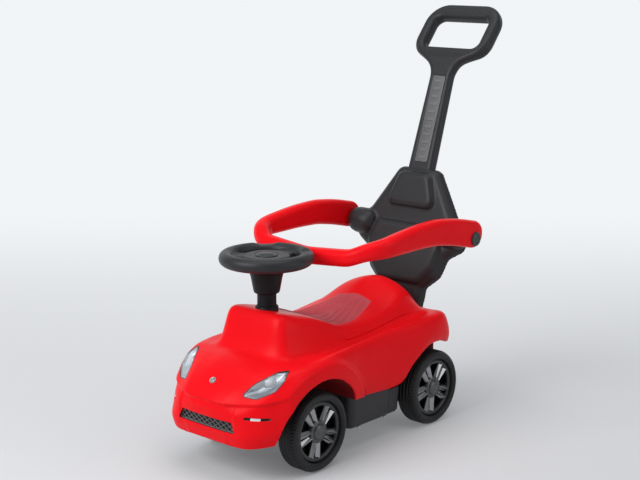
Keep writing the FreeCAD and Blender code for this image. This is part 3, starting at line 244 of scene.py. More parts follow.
def near_panel(c):
    return c.y < -120 and c.z < 166


for drop in (0, BROW_STEP):
    bmesh.ops.bisect_plane(skin, geom=sheet_parts(skin, near_brow), dist=0.01,
                           plane_co=BROW[0] - Vector((0, 0, drop)), plane_no=brow_normal)
for x in (PANEL_HALF, PANEL_HALF + PANEL_EDGE):
    bmesh.ops.bisect_plane(skin, geom=sheet_parts(skin, near_panel), dist=0.01,
                           plane_co=(x, 0, 0), plane_no=(1, 0, 0))
skin.normal_update()
moves = []
for v in skin.verts:
    x, y, z = v.co
    fade = float(1 - smooth_step(*BROW_FADE, y))
    below = -(v.co - BROW[0]).dot(brow_normal)
    out = BROW_PROUD * float(smooth_step(-BROW_REACH, 0, below))
    if below > 0:
        drop = float(smooth_step(0, BROW_STEP, below))
        chin = float(1 - smooth_step(*CHIN_FADE, below))
        centre = float(1 - smooth_step(PANEL_HALF, PANEL_HALF + PANEL_EDGE, x))
        out += drop * (-BROW_PROUD - chin * (BUMPER_SET + PANEL_SET * centre))
    flat_normal = Vector((v.normal.x, v.normal.y, 0))
    radius = math.hypot(y - ARCHES[0][0], z - ARCHES[0][1])
    flare = FLARE * float((1 - smooth_step(*FLARE_RING, radius)) * smooth_step(*FLARE_SIDE, x))
    flare *= float(smooth_step(*FLARE_AHEAD, y))
    moves.append((v, flat_normal * (out * fade) + Vector((flare, 0, 0))))
for v, move in moves:
    if v.co.x < 0.001:
        move.x = 0
    v.co += move

# Seat panel: a satin field with raised ribs that run back and inwards, over the pod's back and the saddle.
# It is part of the red sheet, grained in the mould, and is scored into it before the sheet is cut up.
# Its pinkish grey tone is a painted sheen; the grain, ribs and rougher polish are its own.
SEAT_PANEL = [(-1, 44), (58, 44), (69, 62), (73, 133), (68, 190), (46, 268), (-1, 276)]
RIB_SLANT, RIB_PITCH, RIB_WIDTH, RIB_RISE, RIB_FADE = 0.387, 14, 10, 1.6, 9
RIB_START, RIB_END = Vector((6, 44, 0)), Vector((73, 133, 0))


def inside_outline(outline, a, b):
    """Whether (a, b) lies inside a closed outline of points."""
    hit = False
    for (a0, b0), (a1, b1) in zip(outline, outline[1:] + outline[:1]):
        if (b0 > b) != (b1 > b) and a < (a1 - a0) * (b - b0) / (b1 - b0) + a0:
            hit = not hit
    return hit


def edge_distance(outline, a, b):
    """Distance of a point from the nearest side of an outline."""
    here = Vector((a, b))
    best = math.inf
    for start, end in zip(outline, outline[1:] + outline[:1]):
        start, along = Vector(start), Vector(end) - Vector(start)
        share = (here - start).dot(along) / max(along.length_squared, 1e-9)
        best = min(best, (start + along * min(1, max(0, share)) - here).length)
    return best


SCORE_MARGIN = 9


def score(bm, outline, lift, flat, axis, test):
    """Cuts a sheet's faces along an outline swept along an axis, without removing anything."""
    for (a0, b0), (a1, b1) in zip(outline, outline[1:] + outline[:1]):
        start, end = lift(a0, b0), lift(a1, b1)
        mid = (Vector((a0, b0)) + Vector((a1, b1))) / 2
        reach = math.hypot(a1 - a0, b1 - b0) / 2 + SCORE_MARGIN
        parts = sheet_parts(bm, lambda c: test(c) and (Vector(flat(c)) - mid).length < reach)
        bmesh.ops.bisect_plane(bm, geom=parts, dist=0.01, plane_co=start, plane_no=(end - start).cross(axis))


def from_above(a, b):
    return Vector((a, b, 0))


def plan(c):
    return (c.x, c.y)


def on_top(c):
    return c.z > 205


def on_seat(c):
    return on_top(c) and inside_outline(SEAT_PANEL, *plan(c))


Z_AXIS = Vector((0, 0, 1))
score(skin, SEAT_PANEL, from_above, plan, Z_AXIS, on_top)
rib_normal = Vector((1, RIB_SLANT, 0)).normalized()


def rib_place(c):
    """Distance across the ribs from the first one's edge."""
    return (c - RIB_START).dot(rib_normal)


for place in range(0, int(rib_place(RIB_END)) + RIB_PITCH, RIB_PITCH):
    for edge in (place, place + RIB_WIDTH / 2, place + RIB_WIDTH):
        bmesh.ops.bisect_plane(skin, geom=sheet_parts(skin, on_seat), dist=0.01, plane_no=rib_normal,
                               plane_co=RIB_START + rib_normal * edge)
for v in skin.verts:
    if on_seat(v.co) and v.co.x > 4 and rib_place(v.co) > -0.1:
        if abs(rib_place(v.co) % RIB_PITCH - RIB_WIDTH / 2) < 0.1:
            v.co.z += RIB_RISE * float(smooth_step(0, RIB_FADE, edge_distance(SEAT_PANEL, *plan(v.co))))
for f in skin.faces:
    f.smooth = True
    if on_seat(f.calc_center_median()):
        f.material_index = 1
bmesh.ops.mirror(skin, geom=[*skin.verts, *skin.edges, *skin.faces], axis="X", merge_dist=0.01)
face_outwards(skin)

# Body shell: the skin with its rolled lower edge, wheel wells and openings, in 2.4 mm gloss red plastic.
# Its openings for lamps, grille, column and saddle are cut with a small rolled edge of their own.
SHELL_T = 2.4
ROLL_R, OPENING_ROLL, SADDLE_ROLL = 2.6, 1.2, 1.6
WELL_X = (64.4, 96)
WELL_FLOOR = (118, 112)
RETURN, NOSE_RETURN_Y, TAIL_RETURN_Y = 8, -150, TAIL_Y - 4


def rounded(corners, steps=5):
    """Points of an outline through (a, b, radius) corners, each turned as an arc."""
    points = []
    for i, (a, b, radius) in enumerate(corners):
        here = Vector((a, b))
        back = (Vector(corners[i - 1][:2]) - here).normalized()
        ahead = (Vector(corners[(i + 1) % len(corners)][:2]) - here).normalized()
        half = back.angle(ahead) / 2
        centre = here + (back + ahead).normalized() * (radius / math.sin(half))
        reach = radius / math.tan(half)
        first, last = here + back * reach - centre, here + ahead * reach - centre
        begin = math.atan2(first.y, first.x)
        turn = (math.atan2(last.y, last.x) - begin + math.pi) % (2 * math.pi) - math.pi
        for k in range(steps + 1):
            angle = begin + turn * k / steps
            points.append((centre.x + radius * math.cos(angle), centre.y + radius * math.sin(angle)))
    return points


def mirror_half(corners):
    return corners + [(-a, b, radius) for a, b, radius in reversed(corners)]


def cut_sheet(bm, outline, lift, flat, axis, test, keep_inside):
    """Cuts a sheet along an outline and drops its inside, or all the rest."""
    score(bm, outline, lift, flat, axis, test)
    inside = {f for f in bm.faces if test(f.calc_center_median())
              and inside_outline(outline, *flat(f.calc_center_median()))}
    gone = [f for f in bm.faces if (f in inside) != keep_inside]
    bmesh.ops.delete(bm, geom=gone, context="FACES")


def free_edges(bm):
    return [e for e in bm.edges if e.is_boundary]


def fresh_verts(made):
    """The corners among what an extrusion made."""
    return [g for g in made["geom"] if isinstance(g, bmesh.types.BMVert)]


def fresh_rim(made):
    """The free edges among what an extrusion made."""
    return [g for g in made["geom"] if isinstance(g, bmesh.types.BMEdge) and g.is_boundary]


def roll_edge(bm, edges, radius, steps=3):
    """Rolls a sheet's free edge inwards on an arc; gives the new free edges."""
    bm.normal_update()
    ways = {}
    for e in edges:
        away = (e.verts[0].co + e.verts[1].co) / 2 - e.link_faces[0].calc_center_median()
        along = (e.verts[1].co - e.verts[0].co).normalized()
        away = (away - along * away.dot(along)).normalized()
        for v in e.verts:
            ways[v] = ways.get(v, Vector()) + away
    inward = {v: -v.normal.copy() for v in ways}
    for v in ways:
        ways[v] = (ways[v] - inward[v] * ways[v].dot(inward[v])).normalized()
    base = {v: v.co.copy() for v in ways}
    trail = {v: v for v in ways}
    free = list(edges)
    for k in range(1, steps + 1):
        angle = math.pi / 2 * k / steps
        made = bmesh.ops.extrude_edge_only(bm, edges=free)
        roots = {v: root for root, v in trail.items()}
        trail = {}
        for v in fresh_verts(made):
            last = next(e.other_vert(v) for e in v.link_edges if e.other_vert(v) in roots)
            trail[roots[last]] = v
        for root, v in trail.items():
            out, down = radius * math.sin(angle), radius * (1 - math.cos(angle))
            v.co = base[root] + ways[root] * out + inward[root] * down
        free = fresh_rim(made)
    for f in bm.faces:
        f.smooth = True
    return free


def extend(bm, edges, move):
    """Extrudes free edges and moves the new corners; gives the new free edges."""
    made = bmesh.ops.extrude_edge_only(bm, edges=edges)
    for v in fresh_verts(made):
        v.co = move(v.co)
    return fresh_rim(made)


def nearest_arch(c):
    for k, (arch_y, arch_z, arch_r) in enumerate(ARCHES):
        if math.hypot(c.y - arch_y, c.z - arch_z) < arch_r + 0.5:
            return k
    return None


def into_body(c):
    """Where the rolled edge goes on to: across to the well's inner wall, or a short return."""
    k = nearest_arch(c)
    side = math.copysign(1, c.x)
    if k is not None:
        return Vector((side * WELL_X[k], c.y, c.z))
    if c.y < NOSE_RETURN_Y:
        return c + Vector((0, RETURN, 0))
    if c.y > TAIL_RETURN_Y:
        return c - Vector((0, RETURN, 0))
    return c - Vector((side * RETURN, 0, 0))


def down_wall(c):
    k = nearest_arch(c)
    return c if k is None else Vector((c.x, c.y, min(c.z, WELL_FLOOR[k])))


shell = skin.copy()
rim = roll_edge(shell, free_edges(shell), ROLL_R)
skin_faces = set(shell.faces)
rim = extend(shell, rim, into_body)
extend(shell, [e for e in rim if all(nearest_arch(v.co) is not None for v in e.verts)], down_wall)
# The wells' walls and the returns take a darker red: painted shade on what is the same red plastic.
for f in shell.faces:
    if f not in skin_faces:
        f.material_index = 2
bmesh.ops.dissolve_degenerate(shell, edges=shell.edges, dist=0.005)

LAMP = rounded([(75, 176, 5), (104, 172, 16), (130, 186, 14), (135, 205, 8), (126, 219, 4), (109, 216, 8),
                (86, 197, 16)])
GRILLE = rounded(mirror_half([(77, 105, 3), (67, 128, 6)]))
FOG = rounded([(92, 135.2, 2.4), (131, 132.4, 3), (131, 139.6, 3), (92, 142.4, 2.4)])
SADDLE_SEAM = 1.4
SADDLE_HALF, SADDLE_FRONT, SADDLE_REAR, SADDLE_CORNER = 98, 116, rear(31), 14
COLUMN_R = 24
Y_AXIS = Vector((0, 1, 0))


def from_front(a, b):
    return Vector((a, 0, b))


def elevation(c):
    return (c.x, c.z)


def at_front(c):
    return c.y < -70


def on_deck(c):
    return c.z > 195


def flipped(outline):
    return [(-a, b) for a, b in reversed(outline)]


def saddle_outline(gap):
    return rounded(mirror_half([(SADDLE_HALF + gap, SADDLE_FRONT - gap, SADDLE_CORNER),
                                (SADDLE_HALF + gap, SADDLE_REAR + gap, SADDLE_CORNER)]))


def circle(radius, steps=28):
    return [(radius * math.cos(2 * math.pi * k / steps), radius * math.sin(2 * math.pi * k / steps))
            for k in range(steps)]


before = set(free_edges(shell))
for outline in (LAMP, flipped(LAMP), FOG, flipped(FOG), GRILLE):
    cut_sheet(shell, outline, from_front, elevation, Y_AXIS, at_front, False)
cut_sheet(shell, circle(COLUMN_R), from_above, plan, Z_AXIS, on_top, False)
cut_sheet(shell, saddle_outline(SADDLE_SEAM), from_above, plan, Z_AXIS, on_deck, False)
roll_edge(shell, [e for e in free_edges(shell) if e not in before], OPENING_ROLL, 2)
shell.normal_update()


def add_node(tree, kind, values=None, **settings):
    """Adds a node to a tree, with values on its inputs and settings of its own."""
    node = tree.nodes.new("ShaderNode" + kind)
    for key, value in settings.items():
        setattr(node, key, value)
    for key, value in (values or {}).items():
        node.inputs[key].default_value = value
    return node


def wire(tree, *runs):
    """Links nodes of a tree, each run given as node, output, node, input."""
    for source, output, target, socket in runs:
        tree.links.new(source.outputs[output], target.inputs[socket])


moulding = bpy.data.node_groups.new("moulding", "ShaderNodeTree")
for way, kind, names in (("INPUT", "Color", ("Tone", "Deep Tone")),
                         ("INPUT", "Float", ("Polish", "Grain Size", "Grain Depth")),
                         ("OUTPUT", "Color", ("Colour",)), ("OUTPUT", "Float", ("Roughness",)),
                         ("OUTPUT", "Vector", ("Normal",))):
    for name in names:
        moulding.interface.new_socket(name, in_out=way, socket_type="NodeSocket" + kind)
given, made = moulding.nodes.new("NodeGroupInput"), moulding.nodes.new("NodeGroupOutput")
place = add_node(moulding, "TexCoord")
drift = add_node(moulding, "TexNoise", {"Scale": 14, "Detail": 3})
tones = add_node(moulding, "Mix", data_type="RGBA")
smear = add_node(moulding, "TexNoise", {"Scale": 60, "Detail": 4})
spread = add_node(moulding, "MapRange", {"To Min": 0.86, "To Max": 1.16})
polish = add_node(moulding, "Math", operation="MULTIPLY")
grain = add_node(moulding, "TexNoise", {"Detail": 2})
bump = add_node(moulding, "Bump", {"Distance": 0.0004})
wire(moulding, *[(place, "Object", noise, "Vector") for noise in (drift, smear, grain)],
     (drift, "Fac", tones, "Factor"), (given, "Tone", tones, "A"), (given, "Deep Tone", tones, "B"),
     (tones, "Result", made, "Colour"), (smear, "Fac", spread, "Value"), (spread, "Result", polish, 0),
     (given, "Polish", polish, 1), (polish, "Value", made, "Roughness"),
     (given, "Grain Size", grain, "Scale"), (grain, "Fac", bump, "Height"),
     (given, "Grain Depth", bump, "Strength"), (bump, "Normal", made, "Normal"))


def plastic(name, tone, deep, rough, grain_size, grain_depth, coat=0.0, metal=0.0, gloss=0.5):
    """A moulded plastic: its tone drifts a little, with a fine grain and uneven polish."""
    material = bpy.data.materials.new(name)
    material.use_nodes = True
    tree = material.node_tree
    group = tree.nodes.new("ShaderNodeGroup")
    group.node_tree = moulding
    for key, value in (("Tone", (*tone, 1)), ("Deep Tone", (*deep, 1)), ("Polish", rough),
                       ("Grain Size", grain_size), ("Grain Depth", grain_depth)):
        group.inputs[key].default_value = value
    shader = tree.nodes["Principled BSDF"]
    wire(tree, (group, "Colour", shader, "Base Color"), (group, "Roughness", shader, "Roughness"),
         (group, "Normal", shader, "Normal"))
    for key, value in (("Metallic", metal), ("Specular IOR Level", gloss), ("Coat Weight", coat),
                       ("Coat Roughness", 0.08)):
        shader.inputs[key].default_value = value
    return material


gloss_red = plastic("gloss_red", (0.88, 0.007, 0.013), (0.80, 0.005, 0.009), 0.30, 900, 0.03, gloss=0.07)
# Satin red for the seat panel: grained and rougher than the gloss red, with a pinkish grey tone that is a
# painted sheen.
satin_red_sheen = plastic("satin_red_sheen", (0.60, 0.072, 0.092), (0.52, 0.056, 0.074), 0.50, 1500, 0.4, gloss=0.3)
# Painted shade: a dark red for the wheel wells and returns, which are the shell's own red plastic in shadow.
well_shade_red = plastic("well_shade_red", (0.20, 0.003, 0.005), (0.15, 0.002, 0.003), 0.5, 900, 0.1, gloss=0.1)


def add_piece(bm, name, materials, body, slot, *stands_for):
    """Puts a mesh, drawn in millimetres from the front axle, into the frame as a piece of one body."""
    bm.transform(TO_FRAME)
    mesh = bpy.data.meshes.new(name)
    bm.to_mesh(mesh)
    bm.free()
    for material in materials:
        mesh.materials.append(material)
    piece = bpy.data.objects.new(name, mesh)
    bpy.context.scene.collection.objects.link(piece)
    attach(piece, body)
    if stands_for:
        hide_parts(*stands_for)
    return piece


def thicken(piece, wall):
    """Gives a sheet its wall, inwards from the surface that shows."""
    made = piece.modifiers.new("wall", "SOLIDIFY")
    made.thickness = wall / 1000
    made.offset = -1


thicken(add_piece(shell, "body_shell_moulding", [gloss_red, satin_red_sheen, well_shade_red], "chassis", "red_shell",
                  "body_shell"), SHELL_T)

# Seat saddle: the hump behind the dash pod, in the same gloss red plastic with its satin seat panel.
# It is lifted out of the same skin and dropped into the shell with a fine seam all round.
SADDLE_SKIRT = 5
saddle = skin.copy()
cut_sheet(saddle, saddle_outline(0), from_above, plan, Z_AXIS, on_deck, True)
saddle_rim = roll_edge(saddle, free_edges(saddle), SADDLE_ROLL, 3)
extend(saddle, saddle_rim, lambda c: c - Vector((0, 0, SADDLE_SKIRT)))
thicken(add_piece(saddle, "seat_saddle_moulding", [gloss_red, satin_red_sheen], "chassis", "red_shell",
                  "seat_saddle"), SHELL_T)

# Headlights: a clear lens let flush into the bonnet over a silvered, fluted bowl with a round
# projector, edged by a black gasket. Each is cut from the skin, so it follows the bonnet's curve.
LAMP_GAP, GASKET, LAMP_WALL, LENS_ROLL, LENS_DEEP = 0.5, 1.7, 1.6, 1.0, 4
BOWL_SET, BOWL_DEPTH, BOWL_EDGE = 2.5, 12, 13
FLUTE_PITCH, FLUTE_DEPTH, FLUTE_SLANT = 7, 0.7, 0.5
PROJECTOR, PROJECTOR_SET, PROJECTOR_AIM = (107, 200), 10, Vector((0.42, -0.86, 0.30))
PROJECTOR_PROFILE, PROJECTOR_EYE = [(0, 8), (4, 7.2), (7, 4.6), (8.6, 0.6), (9.4, 0), (10, 1.8), (11.4, 2.2),
                                    (12.4, 1), (12.4, -6), (0, -6)], 8.2
INTO_NOSE = Vector((-0.45, 0.80, -0.40)).normalized()
skin_tree = BVHTree.FromBMesh(skin)


def shrunk(outline, gap):
    """An outline set in by a gap all round."""
    sides = list(zip(outline, outline[1:] + outline[:1]))
    way = math.copysign(gap, sum(a0 * b1 - a1 * b0 for (a0, b0), (a1, b1) in sides))
    points = []
    for i, (a, b) in enumerate(outline):
        before, after = Vector(outline[i - 1]), Vector(outline[(i + 1) % len(outline)])
        along = (after - before).normalized() * way
        points.append((a - along.y, b + along.x))
    return points


def paint(bm, index):
    for f in bm.faces:
        f.material_index = index
        f.smooth = True
    return bm


def join(bm, *others):
    """Adds other meshes to a mesh as further loose parts."""
    for other in others:
        mesh = bpy.data.meshes.new("part")
        other.to_mesh(mesh)
        other.free()
        bm.from_mesh(mesh)
        bpy.data.meshes.remove(mesh)
    return bm


def mirror_image(bm):
    """The same mesh on the car's other side."""
    twin = bm.copy()
    bmesh.ops.scale(twin, vec=(-1, 1, 1), verts=twin.verts)
    bmesh.ops.reverse_faces(twin, faces=twin.faces)
    return twin


def turned(profile, steps=48):
    """A turning about Z from (radius, height) points."""
    bm = bmesh.new()
    verts = [bm.verts.new((radius, 0, height)) for radius, height in profile]
    edges = [bm.edges.new(pair) for pair in zip(verts, verts[1:])]
    bmesh.ops.spin(bm, geom=verts + edges, cent=(0, 0, 0), axis=(0, 0, 1), angle=2 * math.pi, steps=steps,
                   use_merge=True)
    bmesh.ops.remove_doubles(bm, verts=bm.verts, dist=0.005)
    bmesh.ops.recalc_face_normals(bm, faces=bm.faces)
    return paint(bm, 0)


def aimed(bm, place, axis):
    """Moves a turning from the origin to a place, its axis turned to a given way."""
    bm.transform(Matrix.Translation(place) @ Vector(axis).to_track_quat("Z", "Y").to_matrix().to_4x4())
    return bm


def front_patch(outline):
    """The skin's own surface inside an outline seen from the front."""
    bm = skin.copy()
    cut_sheet(bm, outline, from_front, elevation, Y_AXIS, at_front, True)
    return bm


def headlight():
    glass_edge = shrunk(LAMP, GASKET)
    lens = front_patch(shrunk(LAMP, LAMP_GAP))
    score(lens, glass_edge, from_front, elevation, Y_AXIS, at_front)
    for f in lens.faces:
        f.material_index = 0 if inside_outline(glass_edge, *elevation(f.calc_center_median())) else 1
    rim = roll_edge(lens, free_edges(lens), LENS_ROLL, 2)
    extend(lens, rim, lambda c: c + INTO_NOSE * LENS_DEEP)
    bowl = front_patch(shrunk(LAMP, GASKET - 1))
    for v in bowl.verts:
        depth = smooth_step(0, BOWL_EDGE, edge_distance(LAMP, *elevation(v.co)))
        flute = math.sin(2 * math.pi * (v.co.x - FLUTE_SLANT * v.co.z) / FLUTE_PITCH)
        v.co += INTO_NOSE * (BOWL_SET + float(depth) * (BOWL_DEPTH + FLUTE_DEPTH * flute))
    paint(bowl, 2)
    eye = turned(PROJECTOR_PROFILE, 32)
    hit = skin_tree.ray_cast(Vector((PROJECTOR[0], NOSE_Y - 100, PROJECTOR[1])), Y_AXIS)[0]
    seat = hit + INTO_NOSE * PROJECTOR_SET
    aimed(eye, seat, PROJECTOR_AIM)
    # The projector sits where the lamp shows its glint, and its white eye is a painted highlight.
    for f in eye.faces:
        f.material_index = 3 if (f.calc_center_median() - seat).length < PROJECTOR_EYE else 2
    return join(lens, bowl, eye)


def clear(name, tone, rough):
    """A clear moulding with faint flow lines in its polish."""
    material = bpy.data.materials.new(name)
    material.use_nodes = True
    tree = material.node_tree
    shader = tree.nodes["Principled BSDF"]
    for key, value in (("Base Color", (*tone, 1)), ("Transmission Weight", 1), ("IOR", 1.42)):
        shader.inputs[key].default_value = value
    place = add_node(tree, "TexCoord")
    flow = add_node(tree, "TexNoise", {"Scale": 90})
    spread = add_node(tree, "MapRange", {"To Min": rough * 0.6, "To Max": rough * 1.5})
    wire(tree, (place, "Object", flow, "Vector"), (flow, "Fac", spread, "Value"),
         (spread, "Result", shader, "Roughness"))
    return material


lamp_clear = clear("lamp_clear", (0.90, 0.92, 0.94), 0.05)
gasket_black = plastic("gasket_black", (0.030, 0.031, 0.034), (0.022, 0.022, 0.025), 0.45, 1200, 0.3)
lamp_silver = plastic("lamp_silver", (0.52, 0.545, 0.58), (0.42, 0.445, 0.48), 0.34, 900, 0.05, metal=0.8)
lamp_white = plastic("lamp_white", (0.78, 0.78, 0.79), (0.66, 0.67, 0.69), 0.16, 900, 0.02, coat=0.4)
lamp_finishes = [lamp_clear, gasket_black, lamp_silver, lamp_white]
left_lamp = headlight()
for side, lamp in (("left", left_lamp), ("right", mirror_image(left_lamp))):
    thicken(add_piece(lamp, "headlight_" + side + "_unit", lamp_finishes, "chassis", "lens",
                      "headlight_" + side), LAMP_WALL)

# Fog lights: a slim dark housing set into the bumper with a short white lens in its middle,
# pushed in from the front.
FOG_LENS = rounded([(103, 135.2, 2), (118, 134.2, 2), (118, 139.4, 2), (103, 140.4, 2)])
FOG_GAP, FOG_SINK, FOG_LENS_SINK, FOG_EDGE, FOG_DEEP, FOG_WALL = 0.4, 4.5, 1.2, 2.5, 6, 1.2


def fog_light():
    bm = front_patch(shrunk(FOG, FOG_GAP))
    score(bm, FOG_LENS, from_front, elevation, Y_AXIS, at_front)
    for f in bm.faces:
        f.material_index = 1 if inside_outline(FOG_LENS, *elevation(f.calc_center_median())) else 0
    for v in bm.verts:
        in_lens = any(f.material_index == 1 for f in v.link_faces)
        sink = FOG_LENS_SINK if in_lens else FOG_SINK
        sink *= float(smooth_step(0, FOG_EDGE, edge_distance(FOG, *elevation(v.co))))
        v.co += INTO_NOSE * (FOG_GAP + sink)
    extend(bm, free_edges(bm), lambda c: c + INTO_NOSE * FOG_DEEP)
    for f in bm.faces:
        f.smooth = True
    return bm


left_fog = fog_light()
for side, fog in (("left", left_fog), ("right", mirror_image(left_fog))):
    thicken(add_piece(fog, "fog_light_" + side + "_unit", [gasket_black, lamp_white], "chassis", "lens",
                      "fog_light_" + side), FOG_WALL)

# Grille: a dark tray behind the bumper's mouth with a lattice of slim grey bars across it,
# one black moulding with its bars wiped lighter.
GRILLE_GAP, GRILLE_DEEP, GRILLE_SET, GRILLE_MID_Z = 0.3, 14, 1.6, 116
LATTICE_GAP, LATTICE_SET, LATTICE_HALF = 0.8, 6.5, 90
LATTICE_CELLS, LATTICE_STRETCH, LATTICE_BAR = 26, 1.5, 1.9
mouth = front_patch(shrunk(GRILLE, GRILLE_GAP))
bmesh.ops.translate(mouth, vec=(0, GRILLE_DEEP, 0), verts=mouth.verts)
extend(mouth, free_edges(mouth), lambda c: c - Vector((0, GRILLE_DEEP - GRILLE_SET, 0)))
bmesh.ops.recalc_face_normals(mouth, faces=mouth.faces)
paint(mouth, 0)
lattice = bmesh.new()
bmesh.ops.create_grid(lattice, x_segments=LATTICE_CELLS, y_segments=LATTICE_CELLS, size=LATTICE_HALF)
for angle, axis in ((math.pi / 4, "Z"), (math.pi / 2, "X")):
    bmesh.ops.rotate(lattice, cent=(0, 0, 0), matrix=Matrix.Rotation(angle, 3, axis), verts=lattice.verts)
bmesh.ops.scale(lattice, vec=(LATTICE_STRETCH, 1, 1), verts=lattice.verts)
bmesh.ops.translate(lattice, vec=(0, NOSE_Y, GRILLE_MID_Z), verts=lattice.verts)
cut_sheet(lattice, shrunk(GRILLE, LATTICE_GAP), from_front, elevation, Y_AXIS, lambda c: True, True)
for v in lattice.verts:
    hit = skin_tree.ray_cast(Vector((v.co.x, NOSE_Y - 100, v.co.z)), Y_AXIS)[0]
    v.co.y = hit.y + LATTICE_SET
bmesh.ops.wireframe(lattice, faces=lattice.faces, thickness=LATTICE_BAR, use_replace=True, use_boundary=True,
                    use_even_offset=False)
paint(lattice, 1)
grille_black = plastic("grille_black", (0.016, 0.016, 0.018), (0.010, 0.010, 0.011), 0.5, 900, 0.3)
grille_grey = plastic("grille_grey", (0.24, 0.235, 0.235), (0.18, 0.175, 0.175), 0.4, 900, 0.3)
add_piece(join(mouth, lattice), "grille_lattice", [grille_black, grille_grey], "chassis", "black",
          "grille_insert")

# Badge: a small round disc with a raised rim, left bare, in satin silver plastic. It is pressed onto the
# bonnet's middle.
BADGE_Y = -150
badge_seat, badge_out = skin_tree.ray_cast(Vector((0, BADGE_Y, 400)), -Z_AXIS)[:2]
badge_profile = [(0, 1.9), (3.2, 1.8), (4.6, 1.2), (5.0, 1.3), (5.4, 2.0), (6.3, 2.0), (7, 1.3), (7, -1),
                 (0, -1)]
badge = aimed(turned(badge_profile, 40), badge_seat, badge_out)
satin_silver = plastic("satin_silver", (0.42, 0.41, 0.40), (0.34, 0.33, 0.32), 0.32, 1600, 0.2, metal=0.6)
add_piece(badge, "bonnet_badge_disc", [satin_silver], "chassis", "trim_grey", "bonnet_badge")

# Wheels: black moulded wheels with a grooved tread and a stepped sidewall, each blown in one piece
# and run on its axle by a hub in the web.
WHEEL_R, WHEEL_IN, WHEEL_OUT = AXLE_Z, wheel_low.x * 1000, wheel_high.x * 1000
RIM_R = 62
TREAD_GROOVES, GROOVE_HALF, GROOVE_DEEP = (0.32, 0.5, 0.68), 1.5, 1.6
NOTCHES, NOTCH_DEEP, NOTCH_EDGE = 72, 1.3, 0.5
SHOULDER_IN, SHOULDER_OUT, SHOULDER_HALF = 5, 6, 3.4
tread_points = []
for share in TREAD_GROOVES:
    x = WHEEL_IN + (WHEEL_OUT - WHEEL_IN) * share
    tread_points += [(WHEEL_R, x - GROOVE_HALF - 0.4), (WHEEL_R - GROOVE_DEEP, x - GROOVE_HALF),
                     (WHEEL_R - GROOVE_DEEP, x + GROOVE_HALF), (WHEEL_R, x + GROOVE_HALF + 0.4)]
SIDEWALL_OUT = [(RIM_R, 4), (RIM_R + 0.8, 2.4), (RIM_R + 2.6, 1.6), (RIM_R + 3.4, 2.4), (RIM_R + 4.2, 0.9),
                (RIM_R + 6.5, 0.2), (WHEEL_R - 8, 0.6), (WHEEL_R - 5, 2.2), (WHEEL_R - 2.6, 4.4),
                (WHEEL_R - 0.9, 7.6), (WHEEL_R, 11)]
SIDEWALL_IN = [(WHEEL_R, 10), (WHEEL_R - 0.9, 6.6), (WHEEL_R - 2.6, 3.4), (WHEEL_R - 6, 1),
               (WHEEL_R - 10, 0.2), (RIM_R + 4, 0.8), (RIM_R + 1, 3)]
BORE_R, BOSS_R, BOSS_IN, BOSS_OUT = 5.05, 14, 103, 137
WEB = [(RIM_R, 114), (59, 114.6), (16, 114.6), (BOSS_R, 113), (BOSS_R, BOSS_IN), (BORE_R, BOSS_IN),
       (BORE_R, BOSS_OUT), (BOSS_R, BOSS_OUT), (BOSS_R, 121), (16, 119), (59, 119), (RIM_R, 119.5)]
WHEEL_PROFILE = WEB[-1:] + [(radius, WHEEL_OUT - depth) for radius, depth in SIDEWALL_OUT]
WHEEL_PROFILE += tread_points[::-1] + [(radius, WHEEL_IN + depth) for radius, depth in SIDEWALL_IN] + WEB


def on_shoulder(f):
    """Whether a wheel's face lies on the rounding beside the tread."""
    c = f.calc_center_median()
    near = min(abs(c.z - WHEEL_IN - SHOULDER_IN), abs(c.z - WHEEL_OUT + SHOULDER_OUT)) < SHOULDER_HALF
    return near and c.z > WHEEL_IN and abs(f.normal.z) > 0.25 and WHEEL_R - 3 < c.xy.length < WHEEL_R - 0.3


def wheel_moulding():
    bm = turned(WHEEL_PROFILE, NOTCHES * 2)
    step = 2 * math.pi / NOTCHES
    notched = [f for f in bm.faces if on_shoulder(f)
               and math.atan2(f.calc_center_median().y, f.calc_center_median().x) % step < step / 2]
    bmesh.ops.inset_individual(bm, faces=notched, thickness=NOTCH_EDGE, depth=-NOTCH_DEEP,
                               use_even_offset=True)
    return bm


def on_axle(bm, end, side):
    """Puts a part, drawn about Z with its outer face up, on one wheel's axle."""
    place = Matrix.Translation((0, 0 if end == "front" else WHEELBASE, AXLE_Z))
    turn = Matrix.Rotation(0 if side == "left" else math.pi, 4, "Z")
    bm.transform(place @ turn @ Matrix.Rotation(math.pi / 2, 4, "Y"))
    return bm


CORNERS = [(end, side) for end in ("front", "rear") for side in ("left", "right")]
tyre_black = plastic("tyre_black", (0.016, 0.016, 0.017), (0.011, 0.011, 0.012), 0.46, 500, 0.4, gloss=0.28)
for end, side in CORNERS:
    wheel = end + "_" + side
    add_piece(on_axle(wheel_moulding(), end, side), wheel + "_tyre", [tyre_black], wheel + "_roller",
              "wheel_black", wheel + "_wheel")

# Wheel trims: a grey ring with five pairs of ridged legs and a hub ring, clipped into the wheel's rim,
# and a domed cap pushed over the axle's end.
TRIM_BACK, TRIM_FACE = WHEEL_OUT - 16, WHEEL_OUT - 6
SPOKES, FIRST_SPOKE = 5, 45
LEG_ROOT, LEG_TIP = (15, 5.2, 9.8), (58, 10.6, 18)
LEG_SIDE, LEG_RIDGE, LEG_EDGE = 6.2, 0.6, 0.7


